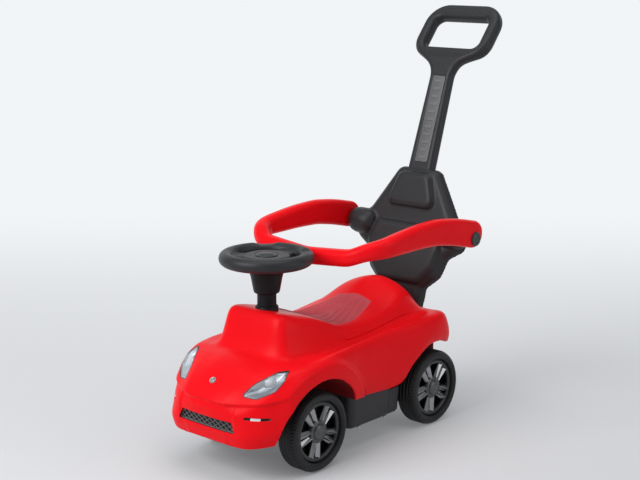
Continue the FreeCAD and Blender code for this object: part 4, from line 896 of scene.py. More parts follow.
def trim_leg(side):
    """One leg of a spoke along X: a bar with a roof-like ridge, wider towards the ring."""
    bm = bmesh.new()
    reach, across, width = LEG_ROOT
    section = [(-width / 2, TRIM_BACK), (-width / 2, TRIM_FACE - LEG_SIDE), (0, TRIM_FACE - LEG_RIDGE),
               (width / 2, TRIM_FACE - LEG_SIDE), (width / 2, TRIM_BACK)]
    root = bm.faces.new([bm.verts.new((reach, side * across + b, x)) for b, x in section])
    for v in fresh_verts(bmesh.ops.extrude_face_region(bm, geom=[root])):
        v.co = (LEG_TIP[0], side * LEG_TIP[1] + (v.co.y - side * across) * LEG_TIP[2] / width, v.co.z)
    bmesh.ops.recalc_face_normals(bm, faces=bm.faces)
    bmesh.ops.bevel(bm, geom=bm.edges[:], offset=LEG_EDGE, segments=2, profile=0.5, affect="EDGES",
                    material=-1)
    for f in bm.faces:
        f.material_index = 0 if f.normal.z > 0.25 else 1
    return bm


RING_PROFILE = [(51.7, TRIM_BACK), (51.7, TRIM_FACE - 3), (53, TRIM_FACE - 1.2), (55.5, TRIM_FACE - 0.4),
                (58.5, TRIM_FACE - 0.8), (60.6, TRIM_FACE - 2.4), (61.6, TRIM_FACE - 4.5), (61.6, TRIM_BACK),
                (51.7, TRIM_BACK)]
HUB_RING_PROFILE = [(14.4, TRIM_BACK), (14.4, TRIM_FACE - 0.4), (16, TRIM_FACE - 0.1), (21, TRIM_FACE - 0.6),
                    (23.5, TRIM_FACE - 3), (24, TRIM_BACK), (14.4, TRIM_BACK)]


def wheel_trim():
    ring, hub = turned(RING_PROFILE, 80), turned(HUB_RING_PROFILE, 60)
    legs = []
    for k in range(SPOKES):
        turn = Matrix.Rotation(math.radians(FIRST_SPOKE + 90 + k * 360 / SPOKES), 3, "Z")
        for side in (1, -1):
            leg = trim_leg(side)
            bmesh.ops.rotate(leg, cent=(0, 0, 0), verts=leg.verts, matrix=turn)
            legs.append(leg)
    return join(paint(ring, 1), paint(hub, 2), *legs)


CAP_PROFILE = [(0, WHEEL_OUT), (5, WHEEL_OUT - 0.3), (7.5, WHEEL_OUT - 1.0), (8.2, WHEEL_OUT - 1.7),
               (8.9, WHEEL_OUT - 1.2), (12, WHEEL_OUT - 1.9), (15, WHEEL_OUT - 3.4), (16.8, WHEEL_OUT - 5.2),
               (17, TRIM_FACE), (14.4, TRIM_FACE), (14.4, WHEEL_OUT - 3.5), (0, WHEEL_OUT - 2.6)]
trim_paint = plastic("trim_paint", (0.36, 0.365, 0.37), (0.28, 0.284, 0.29), 0.22, 1800, 0.03, metal=1.0)
trim_dark = plastic("trim_dark", (0.030, 0.031, 0.033), (0.022, 0.023, 0.025), 0.34, 1800, 0.1, gloss=0.4)
cap_grey = plastic("cap_grey", (0.095, 0.097, 0.100), (0.075, 0.077, 0.080), 0.30, 1800, 0.05, metal=0.5)
for end, side in CORNERS:
    wheel = end + "_" + side
    add_piece(on_axle(wheel_trim(), end, side), wheel + "_spokes", [trim_paint, trim_dark, cap_grey],
              wheel + "_roller", "trim_grey", wheel + "_wheel_trim")
    add_piece(on_axle(turned(CAP_PROFILE, 48), end, side), wheel + "_cap", [cap_grey], wheel + "_roller",
              "trim_grey", wheel + "_hub_cap")

# Steering wheel: a fat rim, three broad spokes and a dished hub, blown in one piece of charcoal plastic over
# a stepped black cone. Two dips in the rim let the guard rail pass close behind it.
RIM_MID_R, RIM_TUBE, RIM_Z = 80, 14, 406
CONE_FOOT_Z = 336
HUB_TOP_Z = 412
SPOKE_HALF, SPOKE_HALF_T, SPOKE_DROP, SPOKE_ANGLES = 21, 7, 3, (90, 210, 330)
DIPS, DIP_DEPTH, DIP_HALF, DIP_FADE = (45, 135), 5, 6, 14
HORN_POCKET_R, HORN_POCKET_Z = 22.4, 397


def fused(piece, voxel, turns):
    """Fuses the loose parts of a piece into one soft-edged moulding."""
    remesh = piece.modifiers.new("fused", "REMESH")
    remesh.mode = "VOXEL"
    remesh.voxel_size = voxel / 1000
    remesh.use_smooth_shade = True
    relax = piece.modifiers.new("soft_edges", "SMOOTH")
    relax.factor = 0.5
    relax.iterations = turns
    return piece


def steering_rim():
    bm = bmesh.new()
    bmesh.ops.create_circle(bm, segments=28, radius=RIM_TUBE)
    bmesh.ops.rotate(bm, cent=(0, 0, 0), matrix=Matrix.Rotation(math.pi / 2, 3, "X"), verts=bm.verts)
    bmesh.ops.translate(bm, vec=(RIM_MID_R, 0, RIM_Z), verts=bm.verts)
    bmesh.ops.spin(bm, geom=bm.verts[:] + bm.edges[:], cent=(0, 0, 0), axis=(0, 0, 1), angle=2 * math.pi,
                   steps=120, use_merge=True)
    bmesh.ops.recalc_face_normals(bm, faces=bm.faces)
    for v in bm.verts:
        angle = math.degrees(math.atan2(v.co.y, v.co.x))
        off = min(abs(angle - dip) for dip in DIPS)
        top = RIM_Z + RIM_TUBE - DIP_DEPTH * float(1 - smooth_step(DIP_HALF, DIP_HALF + DIP_FADE, off))
        v.co.z = min(v.co.z, top)
    return bm


def soft_block(middle, halves, edge, segments):
    """A block with rounded edges."""
    bm = bmesh.new()
    bmesh.ops.create_cube(bm, size=2)
    bmesh.ops.scale(bm, vec=halves, verts=bm.verts)
    bmesh.ops.translate(bm, vec=middle, verts=bm.verts)
    bmesh.ops.bevel(bm, geom=bm.edges[:], offset=edge, segments=segments, profile=0.5, affect="EDGES",
                    material=-1)
    return bm


def steering_spoke(angle):
    bm = soft_block((RIM_MID_R / 2, 0, RIM_Z - SPOKE_DROP), (RIM_MID_R / 2, SPOKE_HALF, SPOKE_HALF_T), 5, 4)
    bmesh.ops.rotate(bm, cent=(0, 0, 0), matrix=Matrix.Rotation(math.radians(angle), 3, "Z"), verts=bm.verts)
    return bm


cone_profile = [(0, CONE_FOOT_Z), (23, CONE_FOOT_Z), (25.4, CONE_FOOT_Z + 1.6), (26.2, CONE_FOOT_Z + 4),
                (31, 366), (35, 381), (41, 390), (0, 391)]
hub_profile = [(0, 386), (34, 386), (42, 390), (46, 394), (48, 398), (48, 407), (46, 411),
               (41, HUB_TOP_Z + 0.5), (27, HUB_TOP_Z), (24.6, HUB_TOP_Z - 1), (HORN_POCKET_R, HUB_TOP_Z - 3),
               (HORN_POCKET_R, HORN_POCKET_Z), (0, HORN_POCKET_Z)]
charcoal = plastic("charcoal", (0.026, 0.027, 0.029), (0.020, 0.021, 0.023), 0.40, 1300, 0.35, gloss=0.26)
# A black deeper than the charcoal: the parts' own black darkened further as painted shade, for the cone that
# sits in the wheel's shadow.
shaded_column_black = plastic("shaded_column_black", (0.009, 0.009, 0.010), (0.006, 0.006, 0.007), 0.40, 1300, 0.25,
                       gloss=0.16)
spokes = [steering_spoke(angle) for angle in SPOKE_ANGLES]
wheel_parts = join(turned(hub_profile, 64), steering_rim(), *spokes)
fused(add_piece(wheel_parts, "steering_wheel_moulding", [charcoal], "steering", "charcoal", "steering_wheel"),
      voxel=1.5, turns=6)
# The cone's deep black is partly painted shade, cast by the wheel above it.
add_piece(turned(cone_profile, 64), "steering_cone_moulding", [shaded_column_black], "steering", "charcoal")

# Squeaker bulb: soft rubber bellows that stand in the hub's pocket below the horn button, which squeezes
# them to half their height.
BULB_FOOT, BULB_TOP = HUB_TOP_Z - 14, HUB_TOP_Z - 8
bulb_profile = [(0, BULB_TOP), (11.4, BULB_TOP), (12.6, BULB_TOP - 0.5), (12.8, BULB_TOP - 1.4),
                (11.6, BULB_TOP - 3), (12.8, BULB_FOOT + 1.4), (12.6, BULB_FOOT + 0.5), (11.4, BULB_FOOT),
                (0, BULB_FOOT)]
rubber = plastic("rubber", (0.05, 0.05, 0.05), (0.04, 0.04, 0.04), 0.7, 900, 0.5)
bulb = add_piece(turned(bulb_profile, 40), "horn_bulb_bellows", [rubber], "steering", "rubber", "horn_bulb")
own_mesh(bulb)

# Horn button: a domed push button with a raised rim, in charcoal plastic a shade lighter than the wheel's.
# It slides in the hub's pocket and is sprung by the squeaker bulb below it.
horn_profile = [(0, 416.6), (8, 416.2), (14, 414.8), (16.4, 413.6), (17, 412.8), (17.8, 413.4), (20, 413.2),
                (21.4, 412), (21.7, 410.4), (21.4, 409), (18, HUB_TOP_Z - 7), (14, BULB_TOP), (0, BULB_TOP)]
soft_charcoal = plastic("soft_charcoal", (0.036, 0.037, 0.040), (0.030, 0.031, 0.033), 0.34, 1300, 0.2,
                        gloss=0.26)
add_piece(turned(horn_profile, 56), "horn_button_dome", [soft_charcoal], "horn", "charcoal", "horn_button")

# Backrest: a leaning shell with two raised pads, rounded ears round the guard's pivots and a housing for
# the handle's foot behind it, moulded in charcoal plastic; its cover is screwed on from behind.
BACK_FOOT, BACK_LEAN, BACK_DEPTH = (0, 413, 292), 14.6, 26.8
BACK_HALF = [(63, -96, 16), (66, -14, 14), (98, 14, 24), (111, 56, 20), (147, 78, 20), (157, 126, 17),
             (121, 143, 30), (54, 244, 24)]
BACK_NARROWS = 0.10
UPPER_PAD = mirror_half([(76, 156, 18), (46, 234, 22)])
LOWER_PAD = mirror_half([(62, -8, 18), (98, 30, 22), (112, 74, 20), (92, 122, 22)])
BACK_SET, BACK_ROUND, PAD_RAISE, PAD_ROUND = 4, 13, 7, 11
PIVOT_Y, PIVOT_Z, EAR_R, EAR_CLEAR = 448, 397, 29, 0.5
POST_FOOT, POST_LEAN = (0, 485, 529), 19.2
EAR_PROFILE = [(0, 88), (15, 90), (23, 97), (27.4, 106), (EAR_R, 118), (EAR_R, 138), (26, 149), (19, 155.4),
               (9, 157.4), (0, 157.5)]
LOCK_DROP, LOCK_R, LOCK_FACE = 30, 6, 32.3
LOCK_COLLAR = [(LOCK_R + 1, 18), (LOCK_R + 1, 29.6), (LOCK_R + 1.8, 30.6), (LOCK_R + 3.4, 30.6),
               (LOCK_R + 5, 29.4), (LOCK_R + 6, 26), (LOCK_R + 6, 18), (LOCK_R + 1, 18)]
HOUSING_HALF, HOUSING_FRONT, HOUSING_BACK, HOUSING_ROUND = 37, -3.3, 28.3, 10
HOUSING_LOW, HOUSING_TOP = -65, -5


def leaning(foot, lean):
    """Frame of a piece that leans back: X across, Y into its depth, Z up along its face."""
    return Matrix.Translation(foot) @ Matrix.Rotation(-math.radians(lean), 4, "X")


back_frame, post_frame = leaning(BACK_FOOT, BACK_LEAN), leaning(POST_FOOT, POST_LEAN)


def flat_region(*outlines):
    """A flat sheet in the XZ plane, facing forwards, between closed outlines."""
    bm = bmesh.new()
    for outline in outlines:
        points = [p for p, last in zip(outline, outline[-1:] + outline[:-1]) if math.dist(p, last) > 0.05]
        verts = [bm.verts.new((a, 0, b)) for a, b in points]
        for pair in zip(verts, verts[1:] + verts[:1]):
            bm.edges.new(pair)
    bmesh.ops.triangle_fill(bm, use_beauty=True, edges=bm.edges[:], normal=(0, -1, 0))
    bmesh.ops.recalc_face_normals(bm, faces=bm.faces)
    if bm.faces[:][0].normal.y > 0:
        bmesh.ops.reverse_faces(bm, faces=bm.faces)
    return bm


def swell(bm, round_in, round_out, steps=5):
    """Raises a flat sheet forwards with a rounded edge."""
    faces = bm.faces[:]
    for k in range(steps):
        start, end = math.pi / 2 * k / steps, math.pi / 2 * (k + 1) / steps
        bmesh.ops.inset_region(bm, faces=faces, use_boundary=True, use_even_offset=True,
                               thickness=round_in * (math.cos(start) - math.cos(end)))
        bmesh.ops.translate(bm, vec=(0, round_out * (math.sin(start) - math.sin(end)), 0),
                            verts=list({v for f in faces for v in f.verts}))
    return bm


def slab(outline, edge, rise, back):
    """A closed slab with a rounded front edge, its front at y = -rise and its back at y = back."""
    bm = swell(flat_region(outline), edge, edge)
    bmesh.ops.translate(bm, vec=(0, edge - rise, 0), verts=bm.verts)
    rim = extend(bm, free_edges(bm), lambda c: Vector((c.x, back, c.z)))
    bmesh.ops.holes_fill(bm, edges=rim)
    bmesh.ops.recalc_face_normals(bm, faces=bm.faces)
    return bm


def backrest():
    back = slab(rounded(mirror_half(BACK_HALF)), BACK_ROUND, -BACK_SET, BACK_DEPTH)
    join(back, *[slab(rounded(pad), PAD_ROUND, PAD_RAISE, BACK_ROUND) for pad in (UPPER_PAD, LOWER_PAD)])
    for v in back.verts:
        v.co.x *= 1 - BACK_NARROWS * (BACK_DEPTH - v.co.y) / BACK_DEPTH
    back.transform(back_frame)
    ear = aimed(turned(EAR_PROFILE), (0, PIVOT_Y, PIVOT_Z), (1, 0, 0))
    upright = back_frame.inverted()
    depth = (upright @ Vector((0, PIVOT_Y, PIVOT_Z))).y
    for v in ear.verts:
        place = upright @ v.co
        if place.y > depth:
            place.y = depth + (place.y - depth) * (BACK_DEPTH - EAR_CLEAR - depth) / EAR_R
        v.co = back_frame @ place
    other_ear = mirror_image(ear)
    corners = ((-1, HOUSING_FRONT), (1, HOUSING_FRONT), (1, HOUSING_BACK), (-1, HOUSING_BACK))
    housing_outline = rounded([(side * HOUSING_HALF, depth, HOUSING_ROUND) for side, depth in corners])
    housing = bmesh.new()
    foot = housing.faces.new([housing.verts.new((x, t, HOUSING_LOW)) for x, t in housing_outline])
    top = fresh_verts(bmesh.ops.extrude_face_region(housing, geom=[foot]))
    bmesh.ops.translate(housing, vec=(0, 0, HOUSING_TOP - HOUSING_LOW), verts=top)
    bmesh.ops.recalc_face_normals(housing, faces=housing.faces)
    collar = aimed(turned(LOCK_COLLAR, 40), (0, 0, -LOCK_DROP), Y_AXIS)
    join(housing, collar).transform(post_frame)
    return join(back, ear, other_ear, housing)


fused(add_piece(backrest(), "backrest_moulding", [charcoal], "chassis", "charcoal", "backrest_front"),
      voxel=1.8, turns=12)

# Rear cover: a flat charcoal lid with a raised, ribbed panel, notched round the handle's socket. It is let
# into the backrest's rear rim and screwed on.
COVER_GAP, COVER_PROUD, COVER_EDGE, COVER_STEP, COVER_DEEP = 3, 1.2, 2.5, 1.4, 4
SOCKET_NOTCH = [(34, 244, 6.5), (34, 178, 8)]
COVER_PANEL = mirror_half([(44, -58, 10), (48, -8, 16), (84, 26, 20), (98, 76, 18), (128, 92, 12),
                           (128, 116, 12), (66, 166, 14)])
COVER_RIBS = ((-34, 34), (-10, 38), (14, 54), (38, 74), (62, 80), (86, 86), (110, 108), (134, 84))
COVER_RIB_HALF, COVER_RIB_ROUND = 3.4, 3


def bar_outline(half, middle, half_height, corner):
    """Outline of a short bar across the middle of a face."""
    low, high = middle - half_height, middle + half_height
    return rounded(mirror_half([(half, low, corner), (half, high, corner)]), 3)


def rear_cover():
    outline = shrunk(rounded(mirror_half(BACK_HALF + SOCKET_NOTCH)), COVER_GAP)
    lid = slab(outline, COVER_EDGE, COVER_PROUD, COVER_DEEP)
    panel = slab(rounded(COVER_PANEL), COVER_STEP, COVER_PROUD + COVER_STEP, COVER_DEEP - 0.5)
    bars = [bar_outline(half, z, COVER_RIB_HALF, COVER_RIB_ROUND) for z, half in COVER_RIBS]
    ribs = [slab(bar, COVER_STEP, COVER_PROUD + 2 * COVER_STEP, COVER_DEEP - 1) for bar in bars]
    lid = join(lid, panel, *ribs)
    bmesh.ops.scale(lid, vec=(1, -1, 1), verts=lid.verts)
    bmesh.ops.translate(lid, vec=(0, BACK_DEPTH, 0), verts=lid.verts)
    bmesh.ops.recalc_face_normals(lid, faces=lid.faces)
    lid.transform(back_frame)
    return lid


add_piece(rear_cover(), "backrest_cover_lid", [charcoal], "chassis", "charcoal", "backrest_cover")

# Lock button: a small grey plastic push button with a dished face. It stands out of a collar in the socket's
# back, on its spring, and holds the handle's foot.
LOCK_LENGTH = 15
lock_profile = [(0, LOCK_FACE - 0.9), (2.6, LOCK_FACE - 0.7), (3.8, LOCK_FACE - 0.1), (4.8, LOCK_FACE),
                (LOCK_R - 0.4, LOCK_FACE - 0.6), (LOCK_R, LOCK_FACE - 1.6), (LOCK_R, LOCK_FACE - LOCK_LENGTH),
                (0, LOCK_FACE - LOCK_LENGTH)]
lock_grey = plastic("lock_grey", (0.16, 0.162, 0.168), (0.125, 0.127, 0.132), 0.36, 1300, 0.2, gloss=0.35)
lock_button = aimed(turned(lock_profile, 40), (0, 0, -LOCK_DROP), Y_AXIS)
lock_button.transform(post_frame)
add_piece(lock_button, "lock_button_cap", [lock_grey], "handle_lock", "charcoal", "handle_lock_button")

# Lock spring: a short coil of zinc-plated wire that sits in the bore behind the button and is squeezed as
# the button goes in.
SPRING_FOOT, SPRING_LENGTH, SPRING_PRESSED, SPRING_R, SPRING_WIRE, SPRING_TURNS = 10.3, 7, 2, 4.2, 0.5, 4
SPRING_STEPS = 24 * SPRING_TURNS
spring = bmesh.new()
bmesh.ops.create_circle(spring, segments=10, radius=SPRING_WIRE)
bmesh.ops.rotate(spring, cent=(0, 0, 0), matrix=Matrix.Rotation(math.pi / 2, 3, "X"), verts=spring.verts)
bmesh.ops.translate(spring, vec=(SPRING_R, 0, SPRING_FOOT + SPRING_WIRE), verts=spring.verts)
bmesh.ops.spin(spring, geom=spring.verts[:] + spring.edges[:], cent=(0, 0, 0), axis=(0, 0, 1),
               dvec=(0, 0, (SPRING_LENGTH - 2 * SPRING_WIRE) / SPRING_STEPS),
               angle=2 * math.pi * SPRING_TURNS, steps=SPRING_STEPS)
bmesh.ops.holes_fill(spring, edges=free_edges(spring))
bmesh.ops.recalc_face_normals(spring, faces=spring.faces)
aimed(paint(spring, 0), (0, 0, -LOCK_DROP), Y_AXIS).transform(post_frame)
zinc = plastic("zinc", (0.60, 0.60, 0.58), (0.50, 0.50, 0.49), 0.34, 2200, 0.25, metal=1.0)
coil = add_piece(spring, "lock_spring_coil", [zinc], "chassis", "steel", "lock_spring")
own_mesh(coil)

# Guard rail: one U-shaped band of gloss red plastic, blown hollow, that swings up on pins in the
# backrest's ears; its front dips to pass behind the steering wheel.
GUARD_HALF, GUARD_HALF_T, GUARD_CORNER, GUARD_FRONT = 170, 11, 70, 108
GUARD_BOW = 4
GUARD_THICK = [(GUARD_FRONT, 17), (300, 15), (PIVOT_Y - 40, GUARD_HALF_T)]
GUARD_LINE = [(GUARD_FRONT, 392, 35), (112, 400, 35), (118, 408, 36), (130, 415, 36), (150, 419, 38),
              (180, 422, 42), (220, 425, 47), (270, 428, 51), (330, 428, 55), (385, 420, 58), (428, 411, 60),
              (PIVOT_Y, 406, 60)]
LOBE_R, LOBE_ANGLES, LOBE_TAPER = 30, (86, 76, 64, 50, 34, 18, 0), 0.3
SIDE_ROUND, LOBE_ROUND, CORNER_STEPS = 0.82, 0.9, 4
GUARD_RUNS = (20, 43, 63, 90, 118, 148, 178, 208, 238)


def guard_rings():
    """Middle, heading, half height and half thickness of each section, from the left tip to the middle."""
    rings = []
    for angle in LOBE_ANGLES:
        share = math.cos(math.radians(angle))
        tip = Vector((GUARD_HALF, PIVOT_Y + LOBE_R * math.sin(math.radians(angle)), GUARD_LINE[-1][1]))
        rings.append((tip, Vector((1, 0, 0)), LOBE_R * share, GUARD_HALF_T * share ** LOBE_TAPER))
    corner_y = GUARD_FRONT + GUARD_BOW + GUARD_CORNER
    plans = [(GUARD_HALF, PIVOT_Y - run, 0) for run in GUARD_RUNS]
    for turn in np.linspace(0, math.pi / 2, 10):
        inwards, forwards = GUARD_CORNER * (1 - math.cos(turn)), GUARD_CORNER * math.sin(turn)
        plans.append((GUARD_HALF - inwards, corner_y - forwards, turn))
    straight = GUARD_HALF - GUARD_CORNER
    plans += [(straight - step, GUARD_FRONT + GUARD_BOW * (1 - step / straight), math.pi / 2)
              for step in (25, 50, 75, 100)]
    for x, y, turn in plans:
        middle = on_line([(p, z) for p, z, h in GUARD_LINE], y)
        height = on_line([(p, h) for p, z, h in GUARD_LINE], y)
        across = Vector((math.cos(turn), -math.sin(turn), 0))
        half_t = on_line(GUARD_THICK, y)
        rings.append((Vector((x, y, middle)) - across * (half_t - GUARD_HALF_T), across, height / 2, half_t))
    return rings


def guard_rail():
    rings = guard_rings()
    around = 4 * (CORNER_STEPS + 1)
    bm = bmesh.new()
    bmesh.ops.create_grid(bm, x_segments=around, y_segments=len(rings) - 1, size=1)
    bm.verts.ensure_lookup_table()
    for i, (middle, across, half_h, half_t) in enumerate(rings):
        corner = min(SIDE_ROUND * half_t, LOBE_ROUND * half_h)
        section = rounded([(-half_t, -half_h, corner), (half_t, -half_h, corner), (half_t, half_h, corner),
                           (-half_t, half_h, corner)], CORNER_STEPS)
        for j, (a, b) in enumerate(section + section[:1]):
            bm.verts[i * (around + 1) + j].co = middle + across * a + Z_AXIS * b
    bmesh.ops.remove_doubles(bm, verts=bm.verts, dist=0.01)
    bmesh.ops.holes_fill(bm, edges=[e for e in free_edges(bm) if e.verts[0].co.y > PIVOT_Y])
    bmesh.ops.mirror(bm, geom=bm.verts[:] + bm.edges[:] + bm.faces[:], axis="X", merge_dist=0.01)
    bmesh.ops.recalc_face_normals(bm, faces=bm.faces)
    return paint(bm, 0)


guard = add_piece(guard_rail(), "guard_rail_band", [gloss_red], "guard", "red_shell", "guard_rail")
rounding = guard.modifiers.new("rounding", "SUBSURF")
rounding.levels = 2
rounding.render_levels = 2

# Guard pivots: two black plastic pins, each with a domed, dished cap, pushed through the guard's lobes into
# the backrest's ears.
CAP_FACE = 181.3
pin_profile = [(0, CAP_FACE + 2.6), (6, CAP_FACE + 2.2), (7.8, CAP_FACE + 1.8), (9, CAP_FACE + 3.4),
               (10.8, CAP_FACE + 4), (13.4, CAP_FACE + 3.6), (15, CAP_FACE + 2), (15.5, CAP_FACE),
               (8, CAP_FACE), (8, 118), (0, 118)]
pivot_black = plastic("pivot_black", (0.032, 0.033, 0.036), (0.024, 0.025, 0.027), 0.36, 1200, 0.2)
left_pin = aimed(turned(pin_profile), (0, PIVOT_Y, PIVOT_Z), (1, 0, 0))
right_pin = mirror_image(left_pin)
add_piece(join(left_pin, right_pin), "guard_pivot_caps", [pivot_black], "chassis", "charcoal",
          "guard_pivot_pins")

# Push handle: a flat post with a D-shaped grip loop, one blown moulding in charcoal plastic whose foot
# drops into the backrest's housing; a pocket in its face takes the inset strip.
POST_T, POST_END = 25, 248
LOOP_LEAN, LOOP_T = 40, 30
HANDLE_OUTLINE = rounded(mirror_half([(34, -62, 10), (28, POST_END - 22, 46), (99, POST_END + 24, 50),
                                      (99, POST_END + 145, 52)]), 10)
GRIP_HOLE = rounded(mirror_half([(73, POST_END + 29, 16), (73, POST_END + 109, 16)]), 8)
INSET = mirror_half([(17.5, 10, 5), (17.5, 206, 5)])
HANDLE_ROUND, HANDLE_SIDE = 9.5, 3
BEND_START, BEND_END = 222, 276
POCKET, POCKET_EDGE = 2.2, 0.7
SLICE, SLICED_HALF, SLICED_FOOT, SLICED_TOP = 6, 24, -54, POST_END + 145
post_middle = post_frame @ Matrix.Translation((0, POST_T / 2, 0))
loop_foot = post_frame @ Vector((0, (POST_T - LOOP_T) / 2, POST_END))
loop_middle = leaning(loop_foot, LOOP_LEAN) @ Matrix.Translation((0, LOOP_T / 2, -POST_END))


def slice_up(bm, axis, places):
    """Cuts a mesh across at several places along an axis, so that it can bend and take an outline."""
    for place in places:
        bmesh.ops.bisect_plane(bm, geom=bm.verts[:] + bm.edges[:] + bm.faces[:], dist=0.01,
                               plane_co=axis * place, plane_no=axis)


def push_handle():
    bm = swell(flat_region(HANDLE_OUTLINE, GRIP_HOLE), HANDLE_ROUND, HANDLE_ROUND, 6)
    bmesh.ops.translate(bm, vec=(0, -HANDLE_SIDE, 0), verts=bm.verts)
    extend(bm, free_edges(bm), lambda c: Vector((c.x, 0, c.z)))
    slice_up(bm, Z_AXIS, range(SLICED_FOOT, SLICED_TOP, SLICE))
    slice_up(bm, Vector((1, 0, 0)), range(-SLICED_HALF, SLICED_HALF + 1, SLICE))
    bmesh.ops.mirror(bm, geom=bm.verts[:] + bm.edges[:] + bm.faces[:], axis="Y", merge_dist=0.01)
    bmesh.ops.recalc_face_normals(bm, faces=bm.faces)
    outline = rounded(INSET)
    score(bm, outline, from_front, elevation, Y_AXIS, lambda c: c.y < -HANDLE_ROUND)
    pocket = [f for f in bm.faces if f.calc_center_median().y < -HANDLE_ROUND
              and inside_outline(outline, *elevation(f.calc_center_median()))]
    bmesh.ops.inset_region(bm, faces=pocket, thickness=POCKET_EDGE, depth=-POCKET, use_even_offset=True)
    for v in bm.verts:
        bend = float(smooth_step(BEND_START, BEND_END, v.co.z))
        full = HANDLE_SIDE + HANDLE_ROUND
        at_post = post_middle @ Vector((v.co.x, v.co.y * POST_T / 2 / full, v.co.z))
        at_loop = loop_middle @ Vector((v.co.x, v.co.y * LOOP_T / 2 / full, v.co.z))
        v.co = at_post.lerp(at_loop, bend)
    return paint(bm, 0)


fused(add_piece(push_handle(), "push_handle_moulding", [charcoal], "chassis", "charcoal", "push_handle"),
      voxel=1.5, turns=4)

# Handle inset: a lighter grey plastic strip, plain but for a row of low grip bars. It is bedded in the post's
# pocket.
BARS, BAR_HALF, BAR_LENGTH, BAR_RISE, BAR_ROUND = 11, 9.5, 7, 0.8, 3
BARS_FOOT, BARS_SPAN, STRIP_GAP, STRIP_SINK = 12, 190, 0.8, 1.2


def inset_strip():
    strip = paint(slab(shrunk(rounded(INSET), STRIP_GAP), 0.6, -STRIP_SINK, 4), 0)
    bars = []
    for k in range(BARS):
        outline = bar_outline(BAR_HALF, BARS_FOOT + BARS_SPAN * (k + 0.5) / BARS, BAR_LENGTH / 2, BAR_ROUND)
        bars.append(paint(slab(outline, 0.7, BAR_RISE - STRIP_SINK, 2), 1))
    join(strip, *bars).transform(post_frame)
    return strip


inset_grey = plastic("inset_grey", (0.125, 0.127, 0.132), (0.098, 0.100, 0.104), 0.36, 1300, 0.2, gloss=0.35)
bar_grey = plastic("bar_grey", (0.155, 0.158, 0.166), (0.125, 0.128, 0.135), 0.32, 1300, 0.2, gloss=0.35)
add_piece(inset_strip(), "handle_inset_strip", [inset_grey, bar_grey], "chassis", "trim_grey", "handle_inset")

# Column collar: a black bush with a domed lip that guides the steering column through the dash pod,
# clipped in from below by its flange.
pod_top = max(skin_tree.ray_cast(Vector((x, y, 400)), -Z_AXIS)[0].z for x, y in circle(COLUMN_R + 2, 8))
COLLAR_BORE, COLLAR_OUT, COLLAR_FLANGE = 15.4, COLUMN_R - 1, COLUMN_R + 12
collar_profile = [(COLLAR_BORE, -34), (COLLAR_BORE, 3), (16.6, 4.6), (20, 4.4), (22.6, 2.6), (COLLAR_OUT, -1),
                  (COLLAR_OUT, -20), (COLLAR_FLANGE, -21), (COLLAR_FLANGE, -25), (COLLAR_OUT, -26),
                  (COLLAR_OUT - 2, -34), (COLLAR_BORE, -34)]
column_collar = turned([(radius, pod_top + up) for radius, up in collar_profile], 56)
add_piece(column_collar, "column_collar", [shaded_column_black], "chassis", "charcoal", "column_bush")

# Floor pan: a black tray with a rounded foot and drafted walls, screwed up under the shell. Its pads and
# posts carry the kingpins and the bridge, and its blocks the rear axle.
pan_low, pan_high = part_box("floor_pan")
PAN_Z, PAN_TOP_Z, PAN_HALF = pan_low.z * 1000, pan_high.z * 1000, pan_high.x * 1000
PAN_FLOOR, PAN_WALL, PAN_FOOT_R, PAN_DRAFT = 4, 3.5, 11, 4
KINGPIN_X, PAD_R, PAD_RISE, BEARING_X = 78, 15.5, 8, 81
POST_X, POST_Y, POST_R, BRIDGE_LOW = 36, -30, 8, 98


def tray(half, front, back, top, corner):
    """An open tray whose walls lean out from a rounded foot."""
    outline = rounded(mirror_half([(half, front, corner), (half, back, corner)]), 8)
    turns = np.linspace(0, math.pi / 2, 6)
    rings = [(PAN_DRAFT + PAN_FOOT_R * (1 - math.sin(turn)), PAN_Z + PAN_FOOT_R * (1 - math.cos(turn)))
             for turn in turns]
    rings += [(0.6, top - 1), (1.2, top), (PAN_WALL, top), (PAN_WALL + PAN_DRAFT, PAN_Z + PAN_FLOOR)]
    bm = bmesh.new()
    loops = []
    for gap, z in rings:
        verts = [bm.verts.new((a, b, z)) for a, b in shrunk(outline, gap)]
        loops.append([bm.edges.new(pair) for pair in zip(verts, verts[1:] + verts[:1])])
    for low, high in zip(loops, loops[1:]):
        bmesh.ops.bridge_loops(bm, edges=low + high)
    bmesh.ops.holes_fill(bm, edges=loops[0] + loops[-1])
    bmesh.ops.recalc_face_normals(bm, faces=bm.faces)
    return bm


def pan_post(x, y, radius, top):
    profile = [(0, PAN_Z + 1), (radius + 3, PAN_Z + 1), (radius + 1, PAN_Z + 7), (radius, PAN_Z + 10),
               (radius, top - 0.8), (radius - 0.8, top), (0, top)]
    return aimed(turned(profile, 32), (x, y, 0), (0, 0, 1))


def pan_block(x, y, half_x, half_y, top):
    return soft_block((x, y, (top + PAN_Z + 1) / 2), (half_x, half_y, (top - PAN_Z - 1) / 2), 2, 3)


